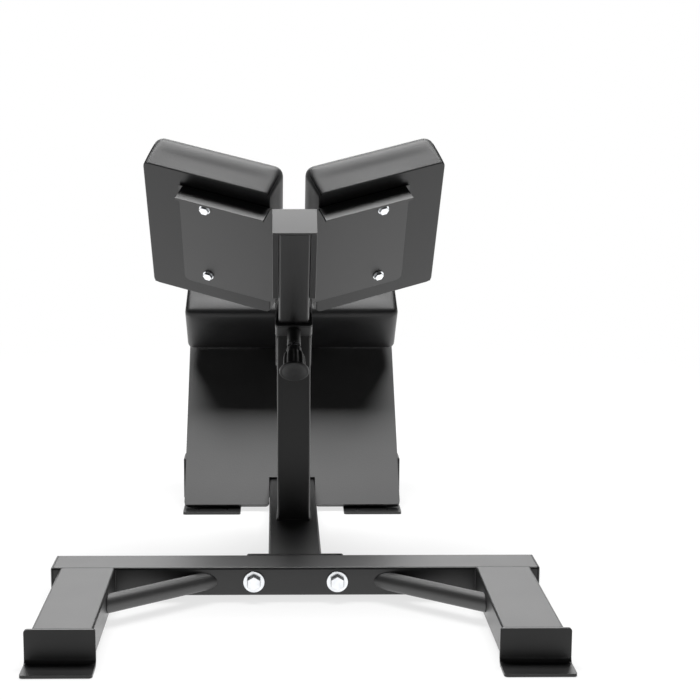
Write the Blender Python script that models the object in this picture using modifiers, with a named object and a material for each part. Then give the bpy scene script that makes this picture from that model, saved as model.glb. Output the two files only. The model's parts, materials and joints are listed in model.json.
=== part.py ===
# Hyperextension bench: a floor frame of rectangular steel tube, a post with an inclined sleeve,
# a sliding carriage with two hip pads in a shallow V, a pull pin that locks the carriage,
# and an inclined foot plate with a calf pad above it.
#
# Sizes are in metres, +Z is up and X runs across the bench. The hip pads lean towards -Y and
# the foot plate stands at +Y. The origin lies on the floor under the middle of the bench.

import math

import bmesh
import bpy
from mathutils import Matrix, Vector

# Clearances and sheet sizes
SEAT_GAP = 0.0003            # between pieces that are welded, bolted or pressed together
BOLT_CLEARANCE = 0.0005      # radial, bolt in its hole
SLIDE_CLEARANCE = 0.0003     # radial, slide tube in its bush and pin in its bores
TUBE_WALL = 0.002
TUBE_CORNER = 0.0035
FOOT_SHEET = 0.004           # bent sheet of the four floor feet
BEND_RADIUS = 0.006

# Floor frame
GROUND_CLEARANCE = 0.0064    # underside of the front tubes above the floor
BEAM_WIDTH = 0.075
BEAM_HEIGHT = 0.040
CROSSBAR_LENGTH = 0.668
CROSSBAR_DEPTH = 0.060
LEG_LENGTH = 0.240
LEG_INSET = 0.0128           # crossbar end to the leg's outer face
FRONT_FOOT_WIDTH = 0.0866
FRONT_FOOT_REACH = 0.043
FRONT_FOOT_SHIFT = 0.0029    # foot centre outside the leg's centre
BRACE_DIAMETER = 0.025
BRACE_SPREAD = 0.1185        # from the leg's inner face to the brace axis on the crossbar
BRACE_REACH = 0.090          # from the crossbar to the brace axis where it meets the leg
CAP_LIP = 0.003
CAP_INSERT = 0.016

# Bolted joint between the crossbar and the beam
CROSSBAR_BOLT_SPACING = 0.114
CROSSBAR_BOLT_DIAMETER = 0.012
CROSSBAR_WASHER_DIAMETER = 0.029
WASHER_THICKNESS = 0.0025
BEAM_FLANGE_WIDTH = 0.136
BEAM_FLANGE_THICKNESS = 0.005

# Rear crossbar and its feet
REAR_CLEARANCE = 0.0045
REAR_BAR_LENGTH = 0.371
REAR_BAR_HEIGHT = 0.070
REAR_BAR_DEPTH = 0.045
REAR_FOOT_WIDTH = 0.0956
REAR_FOOT_SPACING = 0.268
REAR_FOOT_REACH = 0.090
REAR_FOOT_HEIGHT = 0.058
FLOOR_HOLE_DIAMETER = 0.007
FLOOR_HOLE_SPACING = 0.0475
FLOOR_HOLE_SETBACK = 0.017

# Post, sleeve and carriage slide
POST_SETBACK = 0.2389        # crossbar front face to post front face
POST_FRONT_TOP = 0.3285      # height where the collar's underside meets the post's front face
SLIDE_ANGLE = math.radians(48)
SLEEVE_LENGTH = 0.150
SLEEVE_OVERHANG = 0.0261     # sleeve mouth in front of the post, along the slide
SLEEVE_PLAY = 0.0005         # around the slide tube below the bush
SLIDE_TUBE_SIZE = 0.045
SLIDE_TUBE_ABOVE = 0.189     # slide tube above the sleeve mouth at the lowest setting
SLIDE_TUBE_BELOW = 0.195     # and below the mouth, inside the sleeve and out of its lower end
BUSH_WALL = 0.0024
BUSH_LIP = 0.003
INDEX_PITCH = 0.020
INDEX_STEPS = 6
CHEEK_THICKNESS = 0.0085
CHEEK_START = 0.0544         # lower end of the cheek plates above the sleeve mouth
CHEEK_SETBACK = 0.001        # cheek edge behind the face of the slide tube
END_PLATE_THICKNESS = 0.004

# Pull pin
PIN_SETBACK = 0.0117         # pin axis below the sleeve mouth, along the slide
PIN_DIAMETER = 0.010
PIN_ENGAGEMENT = 0.0035      # pin tip past the inner wall of the slide tube when locked
PIN_TRAVEL = 0.0105          # pull that frees the slide tube
PIN_HOUSING_DIAMETER = 0.020
PIN_HOUSING_LENGTH = 0.025
PIN_COLLAR_DIAMETER = 0.0145
PIN_COLLAR_LENGTH = 0.003
HOUSING_FLOOR = 0.0035
HOUSING_CAP_THICKNESS = 0.003
SPRING_WIRE = 0.0012
SPRING_TURNS = 3.5
KNOB_STANDOFF = 0.0045       # pin neck that shows between the housing and the knob
KNOB_LENGTH = 0.045
KNOB_GRIP_DIAMETER = 0.033
KNOB_RIM_DIAMETER = 0.0435
KNOB_RIM_THICKNESS = 0.004
KNOB_LOBES = 9
KNOB_LOBE_DEPTH = 0.0012

# Hip pads and their brackets
PAD_DIHEDRAL = math.radians(19.85)
PAD_PLANE_OFFSET = 0.0279    # back plane of the pads above the slide axis, on the centre line
PAD_BELOW_MOUTH = 0.0499     # lower edge of the pads below the sleeve mouth
PAD_INNER_EDGE = 0.0374      # from the centre line, in the pad plane
PAD_WIDTH = 0.1928
PAD_LENGTH = 0.256
PAD_THICKNESS = 0.0615       # to the front face at its edges
PAD_BOARD_THICKNESS = 0.015
PAD_BOARD_MARGIN = 0.004     # rim of cover round the board
PAD_CORNER = 0.008           # plan corners at the back, where the cover is folded over the board
PAD_FRONT_CORNER = 0.012     # and where the front face begins
PAD_EDGE = 0.015             # rounding of the front edges
PAD_CROWN = 0.003            # middle of the front face above its edges
PAD_FLARE = 0.003            # sides stand out further towards the front
PAD_SIDE_DRAW = 0.0015       # and pull in between the corners
BRACKET_SHEET = 0.004
BRACKET_INNER_EDGE = 0.0243
BRACKET_OUTER_EDGE = 0.175
BRACKET_BOTTOM = 0.031
BRACKET_TOP = 0.233
BRACKET_FLANGE = 0.032
FLANGE_LEAN = math.radians(5)    # short of a square bend, up the slide
FLANGE_INNER_EDGE = 0.0352
FLANGE_OUTER_EDGE = 0.1685
BRACKET_CORNER = 0.009
PAD_BOLT_DIAMETER = 0.008
PAD_BOLT_FROM_CENTRE = 0.1355
PAD_BOLT_HEIGHTS = (0.0544, 0.1963)
PAD_BOLT_GRIP = 0.012

# Foot plate and calf pad
FOOT_PLATE_ANGLE = math.radians(48)
FOOT_PLATE_SETBACK = 0.4614  # crossbar front face to the plate's lower front edge
FOOT_PLATE_WIDTH = 0.3618
FOOT_PLATE_LENGTH = 0.340
FOOT_PLATE_SHEET = 0.004
FOOT_MAT_THICKNESS = 0.004
FOOT_PLATE_CLEARANCE = 0.0016  # lower back edge of the foot plate above the rear feet
FOOT_PLATE_CORNER = 0.006
NOTCH_SIDE_CLEARANCE = 0.001
NOTCH_TOP_CLEARANCE = 0.0005
MAST_WIDTH = 0.050
MAST_DEPTH = 0.030
CALF_BRACKET_ABOVE = 0.013   # underside of the calf bracket above the end of the foot plate
CALF_PAD_STANDOFF = 0.025    # lower edge of the calf pad off the foot mat
CALF_PAD_WIDTH = 0.360
CALF_PAD_HEIGHT = 0.108
CALF_PAD_THICKNESS = 0.057
CALF_BRACKET_SHEET = 0.005
CALF_BRACKET_WIDTH = 0.120
CALF_BRACKET_MARGIN = 0.020
CALF_BOLT_SPACING = 0.080

# Seen from these turns, a flat outline drawn in XY stands in the plane named
SIDE_VIEW = (math.radians(90), 0.0, math.radians(90))    # outline x, y to Y, Z, thickness along X
FRONT_VIEW = (math.radians(90), 0.0, 0.0)                # outline x, y to X, Z, thickness along -Y
ALONG_Y = (math.radians(-90), 0.0, 0.0)                  # outline y to -Z, length along Y
ALONG_X = (0.0, math.radians(90), 0.0)                   # outline x to -Z, length along X

# Places worked out from the sizes above; Y is counted from the crossbar's front face
CROSSBAR_TOP = GROUND_CLEARANCE + BEAM_HEIGHT
BEAM_MID_HEIGHT = GROUND_CLEARANCE + BEAM_HEIGHT / 2
LEG_CENTRE = CROSSBAR_LENGTH / 2 - LEG_INSET - BEAM_WIDTH / 2
FLANGE_FRONT = CROSSBAR_DEPTH + SEAT_GAP
BEAM_START = FLANGE_FRONT + BEAM_FLANGE_THICKNESS + SEAT_GAP
SLEEVE_SIZE = SLIDE_TUBE_SIZE + 2 * (SLEEVE_PLAY + TUBE_WALL)
POST_SIZE = SLEEVE_SIZE
COLLAR_SIZE = SLIDE_TUBE_SIZE + 2 * (SLIDE_CLEARANCE + BUSH_WALL + SEAT_GAP + TUBE_WALL)
COLLAR_STEP = (COLLAR_SIZE - SLEEVE_SIZE) / 2
COLLAR_LENGTH = SLEEVE_OVERHANG - COLLAR_STEP * math.tan(SLIDE_ANGLE) - SEAT_GAP
UP_SLIDE = Vector((0.0, -math.cos(SLIDE_ANGLE), math.sin(SLIDE_ANGLE)))
OFF_SLIDE = Vector((0.0, math.sin(SLIDE_ANGLE), math.cos(SLIDE_ANGLE)))
SLEEVE_MOUTH = (Vector((0.0, POST_SETBACK, POST_FRONT_TOP)) + SLEEVE_OVERHANG * UP_SLIDE
                + COLLAR_SIZE / 2 * OFF_SLIDE)
PLATE_COS = math.cos(FOOT_PLATE_ANGLE)
PLATE_SIN = math.sin(FOOT_PLATE_ANGLE)
PANEL_THICKNESS = FOOT_MAT_THICKNESS + SEAT_GAP + FOOT_PLATE_SHEET
PANEL_LOW_EDGE = FOOT_SHEET + FOOT_PLATE_CLEARANCE + PANEL_THICKNESS * PLATE_COS
REAR_BAR_TOP = REAR_CLEARANCE + REAR_BAR_HEIGHT
PANEL_AT_BAR = (REAR_BAR_TOP - PANEL_LOW_EDGE + PANEL_THICKNESS * PLATE_COS) / PLATE_SIN
REAR_BAR_FRONT = (FOOT_PLATE_SETBACK + PANEL_AT_BAR * PLATE_COS + PANEL_THICKNESS * PLATE_SIN
                  + SEAT_GAP / PLATE_SIN)
CALF_PAD_BACK = FOOT_PLATE_LENGTH + CALF_BRACKET_ABOVE
BRACKET_BACK = CALF_PAD_BACK + SEAT_GAP + CALF_BRACKET_SHEET
MAST_CENTRE = PANEL_THICKNESS + SEAT_GAP + MAST_DEPTH / 2
BRACKET_LOW_EDGE = MAST_CENTRE + MAST_DEPTH / 2 + SEAT_GAP + TUBE_WALL
FRONT_END = -(LEG_LENGTH + SEAT_GAP * 2 + FRONT_FOOT_REACH)
REAR_END = FOOT_PLATE_SETBACK + BRACKET_BACK * PLATE_COS + BRACKET_LOW_EDGE * PLATE_SIN
MIDDLE = (FRONT_END + REAR_END) / 2


def clear_scene():
    for old in list(bpy.data.objects):
        bpy.data.objects.remove(old, do_unlink=True)


def new_collection(name, hidden=False):
    group = bpy.data.collections.new(name)
    group.hide_render = hidden
    bpy.context.scene.collection.children.link(group)
    return group


def new_material(name, colour, roughness, metallic=0.0):
    material = bpy.data.materials.new(name)
    material.use_nodes = True
    shader = material.node_tree.nodes["Principled BSDF"]
    shader.inputs["Base Color"].default_value = (*colour, 1.0)
    shader.inputs["Roughness"].default_value = roughness
    shader.inputs["Metallic"].default_value = metallic
    material.diffuse_color = (*colour, 1.0)
    return material


def new_empty(name, location, rotation=(0.0, 0.0, 0.0), parent=None):
    empty = bpy.data.objects.new(name, None)
    empty.empty_display_size = 0.03
    empty.location = location
    empty.rotation_euler = rotation
    empty.parent = parent
    PARTS.objects.link(empty)
    return empty


# Outlines, as lists of points in a plane


def rounded_rectangle(width, height, radius, steps=3):
    points = []
    for turn, (side_x, side_y) in enumerate(((1, 1), (-1, 1), (-1, -1), (1, -1))):
        for step in range(steps + 1):
            angle = math.radians(90) * (turn + step / steps)
            points.append((side_x * (width / 2 - radius) + radius * math.cos(angle),
                           side_y * (height / 2 - radius) + radius * math.sin(angle)))
    return points


def circle(radius, count=24, centre=(0.0, 0.0)):
    turns = (2 * math.pi * index / count for index in range(count))
    return [(centre[0] + radius * math.cos(a), centre[1] + radius * math.sin(a)) for a in turns]


def hexagon(across_flats):
    return [(across_flats / math.sqrt(3) * math.cos(math.radians(60 * k)),
             across_flats / math.sqrt(3) * math.sin(math.radians(60 * k))) for k in range(6)]


def bent_strip(upright, reach, sheet, inner_radius, steps=4):
    # An L of sheet: the upright runs up from the corner, the foot runs towards -x
    outer_radius = inner_radius + sheet
    points = [(0.0, upright), (-sheet, upright)]
    for step in range(steps + 1):
        angle = math.radians(90) * step / steps
        points.append((-outer_radius + inner_radius * math.cos(angle),
                       outer_radius - inner_radius * math.sin(angle)))
    points += [(-reach, sheet), (-reach, 0.0)]
    for step in range(steps + 1):
        angle = math.radians(90) * (1 - step / steps)
        points.append((-outer_radius + outer_radius * math.cos(angle),
                       outer_radius - outer_radius * math.sin(angle)))
    return points


# Solids


def place(solid, name, material, location, rotation, parent):
    solid.name = name
    solid.data.name = name
    solid.data.materials.append(material)
    solid.location = location
    solid.rotation_euler = rotation
    solid.parent = parent
    PARTS.objects.link(solid)
    return solid


def extruded(loops, length):
    # A flat outline, with holes, extruded evenly to both sides of its plane
    curve = bpy.data.curves.new("outline", "CURVE")
    curve.dimensions = "2D"
    curve.fill_mode = "BOTH"
    curve.extrude = length / 2
    for loop in loops:
        spline = curve.splines.new("POLY")
        spline.points.add(len(loop) - 1)
        for point, (x, y) in zip(spline.points, loop):
            point.co = (x, y, 0.0, 1.0)
        spline.use_cyclic_u = True
    return bpy.data.objects.new("outline", curve)


def as_mesh(solid):
    # The same shape as one welded mesh, so that it can be cut or mitred
    bpy.context.scene.collection.objects.link(solid)
    graph = bpy.context.evaluated_depsgraph_get()
    mesh = bpy.data.meshes.new_from_object(solid.evaluated_get(graph))
    bpy.data.objects.remove(solid, do_unlink=True)
    work = bmesh.new()
    work.from_mesh(mesh)
    bmesh.ops.remove_doubles(work, verts=work.verts, dist=0.000001)
    bmesh.ops.recalc_face_normals(work, faces=work.faces)
    work.to_mesh(mesh)
    work.free()
    return bpy.data.objects.new("solid", mesh)


def hollow_section(width, height, length, wall=TUBE_WALL, corner=TUBE_CORNER):
    outer = rounded_rectangle(width, height, corner)
    inner = rounded_rectangle(width - 2 * wall, height - 2 * wall, max(corner - wall, wall / 4))
    return extruded([outer, inner], length)


def loft(rings, closed):
    # Joins rings of equally many points; a closed loft is a hollow with both ends open
    work = bmesh.new()
    rows = [[work.verts.new((x, y, z)) for x, y in outline] for outline, z in rings]
    pairs = list(zip(rows, rows[1:] + rows[:1])) if closed else list(zip(rows, rows[1:]))
    for low, high in pairs:
        for index in range(len(low)):
            following = (index + 1) % len(low)
            work.faces.new((low[index], low[following], high[following], high[index]))
    if not closed:
        work.faces.new(list(reversed(rows[0])))
        work.faces.new(rows[-1])
    bmesh.ops.recalc_face_normals(work, faces=work.faces)
    mesh = bpy.data.meshes.new("loft")
    work.to_mesh(mesh)
    work.free()
    return bpy.data.objects.new("loft", mesh)


def turned(profile, steps=24):
    # A closed profile of radius and height, down its outer side first, turned about Z
    mesh = bpy.data.meshes.new("turned")
    work = bmesh.new()
    corners = [work.verts.new((radius, 0.0, height)) for radius, height in profile]
    for index, corner in enumerate(corners[:-1]):
        work.edges.new((corner, corners[index + 1]))
    if profile[0][0] > 0.0:
        work.edges.new((corners[-1], corners[0]))
    work.to_mesh(mesh)
    work.free()
    solid = bpy.data.objects.new("turned", mesh)
    screw = solid.modifiers.new("Turn", "SCREW")
    screw.steps = steps
    screw.render_steps = steps
    screw.use_merge_vertices = True
    screw.merge_threshold = 0.00001
    screw.use_smooth_shade = False
    return solid


def drill(solid, diameter, depth, location, rotation=(0.0, 0.0, 0.0)):
    # Cuts a round hole; the place and turn are in the frame of the solid's own parent
    mesh = bpy.data.meshes.new(solid.name + "_hole")
    work = bmesh.new()
    bmesh.ops.create_cone(work, cap_ends=True, segments=20, radius1=diameter / 2,
                          radius2=diameter / 2, depth=depth)
    work.to_mesh(mesh)
    work.free()
    cut_with(solid, bpy.data.objects.new(solid.name + "_hole", mesh), location, rotation)


def cut_box(solid, size, location, rotation=(0.0, 0.0, 0.0)):
    mesh = bpy.data.meshes.new(solid.name + "_cut")
    work = bmesh.new()
    bmesh.ops.create_cube(work, size=1.0)
    bmesh.ops.scale(work, verts=work.verts, vec=size)
    work.to_mesh(mesh)
    work.free()
    cut_with(solid, bpy.data.objects.new(solid.name + "_cut", mesh), location, rotation)


def cut_with(solid, cutter, location, rotation):
    cutter.location = location
    cutter.rotation_euler = rotation
    cutter.parent = solid.parent
    cutter.display_type = "WIRE"
    cutter.hide_render = True
    CUTTERS.objects.link(cutter)
    boolean = solid.modifiers.new("Cut", "BOOLEAN")
    boolean.operation = "DIFFERENCE"
    boolean.solver = "EXACT"
    boolean.object = cutter


def mitre(solid, end, height_at):
    # Slides the corners of one end of a straight section along Z, onto a slanting plane
    for corner in solid.data.vertices:
        if corner.co.z * end > 0:
            corner.co.z = height_at(corner.co)


def round_edges(solid, along, wanted, radius, segments=4):
    # Rounds the sharp edges that run along one axis and whose middle is wanted
    work = bmesh.new()
    work.from_mesh(solid.data)
    chosen = []
    for edge in work.edges:
        start, finish = (corner.co for corner in edge.verts)
        run = finish - start
        if run.length > 0.0001 and abs(run.normalized()[along]) > 0.999 and wanted((start + finish) / 2):
            chosen.append(edge)
    bmesh.ops.bevel(work, geom=chosen, offset=radius, offset_type="OFFSET", segments=segments,
                    profile=0.5, affect="EDGES", clamp_overlap=True)
    work.to_mesh(solid.data)
    work.free()


def hex_bolt(head_flats, head_height, flange, diameter, length):
    # Head above z = 0, shank below it; the flange is a washer face forged on the head
    shank = diameter / 2
    chamfer = shank * 0.15
    solid = turned([(flange, 0.0012), (flange, 0.0), (shank, 0.0), (shank, chamfer - length),
                    (shank - chamfer, -length), (0.0, -length), (0.0, 0.0012)], steps=24)
    top = [(x * 0.9, y * 0.9) for x, y in hexagon(head_flats)]
    head = loft([(hexagon(head_flats), 0.0006), (hexagon(head_flats), head_height * 0.85),
                 (top, head_height)], closed=False)
    head.display_type = "WIRE"
    head.hide_render = True
    CUTTERS.objects.link(head)
    union = solid.modifiers.new("Head", "BOOLEAN")
    union.operation = "UNION"
    union.solver = "EXACT"
    union.object = head
    return solid, head


def end_plug(width, height, name, location, rotation, parent):
    # A moulded plug: a lip on the tube's end face and a tapering insert inside it
    inner_width = width - 2 * (TUBE_WALL + SEAT_GAP)
    inner_height = height - 2 * (TUBE_WALL + SEAT_GAP)
    corner = max(TUBE_CORNER - TUBE_WALL, TUBE_WALL / 4)
    taper = 0.0008
    rings = [
        (rounded_rectangle(inner_width - taper, inner_height - taper, corner), -CAP_INSERT),
        (rounded_rectangle(inner_width, inner_height, corner), 0.0),
        (rounded_rectangle(width, height, TUBE_CORNER), 0.0),
        (rounded_rectangle(width, height, TUBE_CORNER), CAP_LIP * 0.6),
        (rounded_rectangle(width - CAP_LIP, height - CAP_LIP, TUBE_CORNER * 0.6), CAP_LIP),
    ]
    return place(loft(rings, closed=False), name, PLASTIC, location, rotation, parent)


# Floor frame


def build_crossbar():
    tube_length = CROSSBAR_LENGTH - 2 * (CAP_LIP + SEAT_GAP)
    bar = as_mesh(hollow_section(BEAM_HEIGHT, CROSSBAR_DEPTH, tube_length))
    centre = (0.0, CROSSBAR_DEPTH / 2, BEAM_MID_HEIGHT)
    place(bar, "front_crossbar", STEEL, centre, ALONG_X, FRAME)
    hole = CROSSBAR_BOLT_DIAMETER + 2 * BOLT_CLEARANCE
    for side, label in SIDES:
        across = side * CROSSBAR_BOLT_SPACING / 2
        drill(bar, hole, CROSSBAR_DEPTH * 2, (across, CROSSBAR_DEPTH / 2, BEAM_MID_HEIGHT), ALONG_Y)
        end = (side * (tube_length / 2 + SEAT_GAP), CROSSBAR_DEPTH / 2, BEAM_MID_HEIGHT)
        turn = (0.0, side * math.radians(90), 0.0)
        end_plug(BEAM_HEIGHT, CROSSBAR_DEPTH, "crossbar_cap_" + label, end, turn, FRAME)


def build_front_leg(side, label):
    across = side * LEG_CENTRE
    leg = hollow_section(BEAM_WIDTH, BEAM_HEIGHT, LEG_LENGTH - SEAT_GAP)
    middle = -(LEG_LENGTH + SEAT_GAP) / 2
    place(leg, "front_leg_" + label, STEEL, (across, middle, BEAM_MID_HEIGHT), ALONG_Y, FRAME)


def build_front_foot(side, label):
    across = side * (LEG_CENTRE + FRONT_FOOT_SHIFT)
    profile = bent_strip(CROSSBAR_TOP, FRONT_FOOT_REACH, FOOT_SHEET, BEND_RADIUS)
    foot = as_mesh(extruded([profile], FRONT_FOOT_WIDTH))
    location = (across, -LEG_LENGTH - SEAT_GAP * 2, 0.0)
    place(foot, "front_foot_" + label, STEEL, location, SIDE_VIEW, FRAME)
    trim_foot(foot, CROSSBAR_TOP, FRONT_FOOT_REACH)


def trim_foot(foot, upright, reach):
    # Rounds the free corners of a bent foot: outline x, y in its mesh, width along z
    corner = 0.004
    round_edges(foot, 0, lambda m: m.y > upright - 0.0005, corner)
    round_edges(foot, 1, lambda m: m.x < -reach + 0.0005, corner)


def build_brace(side, label):
    # A round tube from the leg's inner face to the crossbar's front face, mitred at both ends
    leg_face = LEG_CENTRE - BEAM_WIDTH / 2 - SEAT_GAP
    start = Vector((leg_face, -BRACE_REACH, 0.0))
    finish = Vector((leg_face - BRACE_SPREAD, -SEAT_GAP, 0.0))
    run = (finish - start).normalized()
    across = Vector((run.y, -run.x, 0.0))
    work = bmesh.new()
    count = 20
    rows = []
    for radius, at_leg in ((BRACE_DIAMETER / 2, True), (BRACE_DIAMETER / 2, False),
                           (BRACE_DIAMETER / 2 - TUBE_WALL, False), (BRACE_DIAMETER / 2 - TUBE_WALL, True)):
        row = []
        for x, y in circle(radius, count):
            point = start + across * x + Vector((0.0, 0.0, y))
            if at_leg:
                point += run * ((leg_face - point.x) / run.x)
            else:
                point += run * ((-SEAT_GAP - point.y) / run.y)
            row.append(work.verts.new((side * point.x, point.y, point.z)))
        rows.append(row)
    for near, far in zip(rows, rows[1:] + rows[:1]):
        for index in range(count):
            following = (index + 1) % count
            work.faces.new((near[index], near[following], far[following], far[index]))
    bmesh.ops.recalc_face_normals(work, faces=work.faces)
    mesh = bpy.data.meshes.new("brace")
    work.to_mesh(mesh)
    work.free()
    brace = bpy.data.objects.new("brace", mesh)
    place(brace, "brace_" + label, STEEL, (0.0, 0.0, BEAM_MID_HEIGHT), (0.0, 0.0, 0.0), FRAME)


def build_beam():
    end = REAR_BAR_FRONT - SEAT_GAP
    beam = hollow_section(BEAM_WIDTH, BEAM_HEIGHT, end - BEAM_START)
    middle = (0.0, (BEAM_START + end) / 2, BEAM_MID_HEIGHT)
    place(beam, "main_beam", STEEL, middle, ALONG_Y, FRAME)
    hole = CROSSBAR_BOLT_DIAMETER / 2 + BOLT_CLEARANCE
    loops = [rounded_rectangle(BEAM_FLANGE_WIDTH, BEAM_HEIGHT, 0.003)]
    loops += [circle(hole, 20, (side * CROSSBAR_BOLT_SPACING / 2, 0.0)) for side, _ in SIDES]
    flange = extruded(loops, BEAM_FLANGE_THICKNESS)
    location = (0.0, FLANGE_FRONT + BEAM_FLANGE_THICKNESS / 2, BEAM_MID_HEIGHT)
    place(flange, "beam_flange", STEEL, location, FRONT_VIEW, FRAME)


def build_crossbar_bolt(side, label):
    across = side * CROSSBAR_BOLT_SPACING / 2
    flats = CROSSBAR_BOLT_DIAMETER * 1.5
    bore = CROSSBAR_BOLT_DIAMETER / 2 + BOLT_CLEARANCE
    washer = extruded([circle(CROSSBAR_WASHER_DIAMETER / 2, 32), circle(bore, 20)], WASHER_THICKNESS)
    location = (across, -SEAT_GAP - WASHER_THICKNESS / 2, BEAM_MID_HEIGHT)
    place(washer, "crossbar_washer_" + label, ZINC, location, FRONT_VIEW, FRAME)
    nut_height = CROSSBAR_BOLT_DIAMETER * 0.83
    nut = extruded([hexagon(flats), circle(CROSSBAR_BOLT_DIAMETER / 2 + SEAT_GAP, 20)], nut_height)
    nut_front = FLANGE_FRONT + BEAM_FLANGE_THICKNESS + SEAT_GAP
    location = (across, nut_front + nut_height / 2, BEAM_MID_HEIGHT)
    place(nut, "crossbar_nut_" + label, ZINC, location, FRONT_VIEW, FRAME)
    head_seat = -SEAT_GAP * 2 - WASHER_THICKNESS
    length = nut_front + nut_height + 0.004 - head_seat
    bolt, head = hex_bolt(flats, CROSSBAR_BOLT_DIAMETER * 0.63, flats * 0.48,
                          CROSSBAR_BOLT_DIAMETER, length)
    location = (across, head_seat, BEAM_MID_HEIGHT)
    place(bolt, "crossbar_bolt_" + label, ZINC, location, FRONT_VIEW, FRAME)
    head.location = location
    head.rotation_euler = (math.radians(90), math.radians(30), 0.0)
    head.parent = FRAME


# Rear crossbar, feet, foot plate and mast


def build_rear_crossbar():
    tube_length = REAR_BAR_LENGTH - 2 * (CAP_LIP + SEAT_GAP)
    height = REAR_CLEARANCE + REAR_BAR_HEIGHT / 2
    middle = REAR_BAR_FRONT + REAR_BAR_DEPTH / 2
    bar = hollow_section(REAR_BAR_HEIGHT, REAR_BAR_DEPTH, tube_length)
    place(bar, "rear_crossbar", STEEL, (0.0, middle, height), ALONG_X, FRAME)
    for side, label in SIDES:
        end = (side * (tube_length / 2 + SEAT_GAP), middle, height)
        turn = (0.0, side * math.radians(90), 0.0)
        end_plug(REAR_BAR_HEIGHT, REAR_BAR_DEPTH, "rear_cap_" + label, end, turn, FRAME)


def build_rear_foot(side, label):
    across = side * REAR_FOOT_SPACING / 2
    back = REAR_BAR_FRONT - SEAT_GAP
    profile = bent_strip(REAR_FOOT_HEIGHT, REAR_FOOT_REACH, FOOT_SHEET, BEND_RADIUS)
    foot = as_mesh(extruded([profile], REAR_FOOT_WIDTH))
    place(foot, "rear_foot_" + label, STEEL, (across, back, 0.0), SIDE_VIEW, FRAME)
    trim_foot(foot, REAR_FOOT_HEIGHT, REAR_FOOT_REACH)
    for shift in (-0.5, 0.5):
        hole = (across + shift * FLOOR_HOLE_SPACING, back - REAR_FOOT_REACH + FLOOR_HOLE_SETBACK, 0.0)
        drill(foot, FLOOR_HOLE_DIAMETER, FOOT_SHEET * 4, hole)


def foot_panel_outline(depth):
    # Lower edge at y = 0 with a notch that clears the beam down to the given depth
    half = FOOT_PLATE_WIDTH / 2
    notch_half = BEAM_WIDTH / 2 + NOTCH_SIDE_CLEARANCE
    above_low_edge = CROSSBAR_TOP + NOTCH_TOP_CLEARANCE - PANEL_LOW_EDGE
    notch_top = (above_low_edge + depth * PLATE_COS) / PLATE_SIN
    radius = FOOT_PLATE_CORNER
    points = []

    def arc(centre_x, centre_y, start):
        for step in range(5):
            angle = math.radians(start + 22.5 * step)
            points.append((centre_x + radius * math.cos(angle), centre_y + radius * math.sin(angle)))

    arc(half - radius, FOOT_PLATE_LENGTH - radius, 0)
    arc(radius - half, FOOT_PLATE_LENGTH - radius, 90)
    arc(radius - half, radius, 180)
    arc(-notch_half - radius, radius, 270)
    points.append((-notch_half, notch_top))
    points.append((notch_half, notch_top))
    arc(notch_half + radius, radius, 180)
    arc(half - radius, radius, 270)
    return points


def build_foot_plate():
    mat = extruded([foot_panel_outline(FOOT_MAT_THICKNESS)], FOOT_MAT_THICKNESS)
    place(mat, "foot_mat", RUBBER, (0.0, FOOT_MAT_THICKNESS / 2, 0.0), FRONT_VIEW, FOOT_FRAME)
    plate = extruded([foot_panel_outline(PANEL_THICKNESS)], FOOT_PLATE_SHEET)
    depth = PANEL_THICKNESS - FOOT_PLATE_SHEET / 2
    place(plate, "foot_plate", STEEL, (0.0, depth, 0.0), FRONT_VIEW, FOOT_FRAME)


def build_mast():
    # Runs up behind the foot plate from the top of the rear crossbar to the calf bracket
    top = CALF_PAD_BACK
    mast = as_mesh(hollow_section(MAST_WIDTH, MAST_DEPTH, 2 * top))
    foot = REAR_BAR_TOP + SEAT_GAP - PANEL_LOW_EDGE
    mitre(mast, -1, lambda corner: (foot + (corner.y + MAST_CENTRE) * PLATE_COS) / PLATE_SIN)
    place(mast, "rear_mast", STEEL, (0.0, MAST_CENTRE, 0.0), (0.0, 0.0, 0.0), FOOT_FRAME)


def build_calf_bracket():
    top_edge = -(CALF_PAD_STANDOFF + CALF_PAD_HEIGHT - CALF_BRACKET_MARGIN)
    height = BRACKET_LOW_EDGE - top_edge
    bolt_line = -(CALF_PAD_STANDOFF + CALF_PAD_HEIGHT / 2)
    middle = (BRACKET_LOW_EDGE + top_edge) / 2
    hole = PAD_BOLT_DIAMETER / 2 + BOLT_CLEARANCE
    loops = [rounded_rectangle(CALF_BRACKET_WIDTH, height, 0.008)]
    loops += [circle(hole, 20, (side * CALF_BOLT_SPACING / 2, bolt_line - middle)) for side, _ in SIDES]
    bracket = extruded(loops, CALF_BRACKET_SHEET)
    level = CALF_PAD_BACK + SEAT_GAP + CALF_BRACKET_SHEET / 2
    place(bracket, "calf_bracket", STEEL, (0.0, middle, level), (0.0, 0.0, 0.0), FOOT_FRAME)
    for side, label in SIDES:
        location = (side * CALF_BOLT_SPACING / 2, bolt_line, BRACKET_BACK + SEAT_GAP)
        pad_bolt("calf_bolt_" + label, location, (0.0, 0.0, 0.0), CALF_BRACKET_SHEET, FOOT_FRAME)


def pad_bolt(name, location, rotation, sheet, parent):
    # A flanged hex bolt through a bracket of the given sheet and into the pad's board
    length = sheet + SEAT_GAP * 2 + PAD_BOLT_GRIP
    flats = PAD_BOLT_DIAMETER * 1.625
    bolt, head = hex_bolt(flats, PAD_BOLT_DIAMETER * 0.66, PAD_BOLT_DIAMETER * 1.05,
                          PAD_BOLT_DIAMETER, length)
    place(bolt, name, ZINC, location, rotation, parent)
    head.location = location
    head.rotation_euler = rotation
    head.parent = parent


# Pads: a board in the back of a crowned cushion. In a pad's frame X runs across, Z runs up
# and Y runs from the flat back at 0 to the crowned front.


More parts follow.
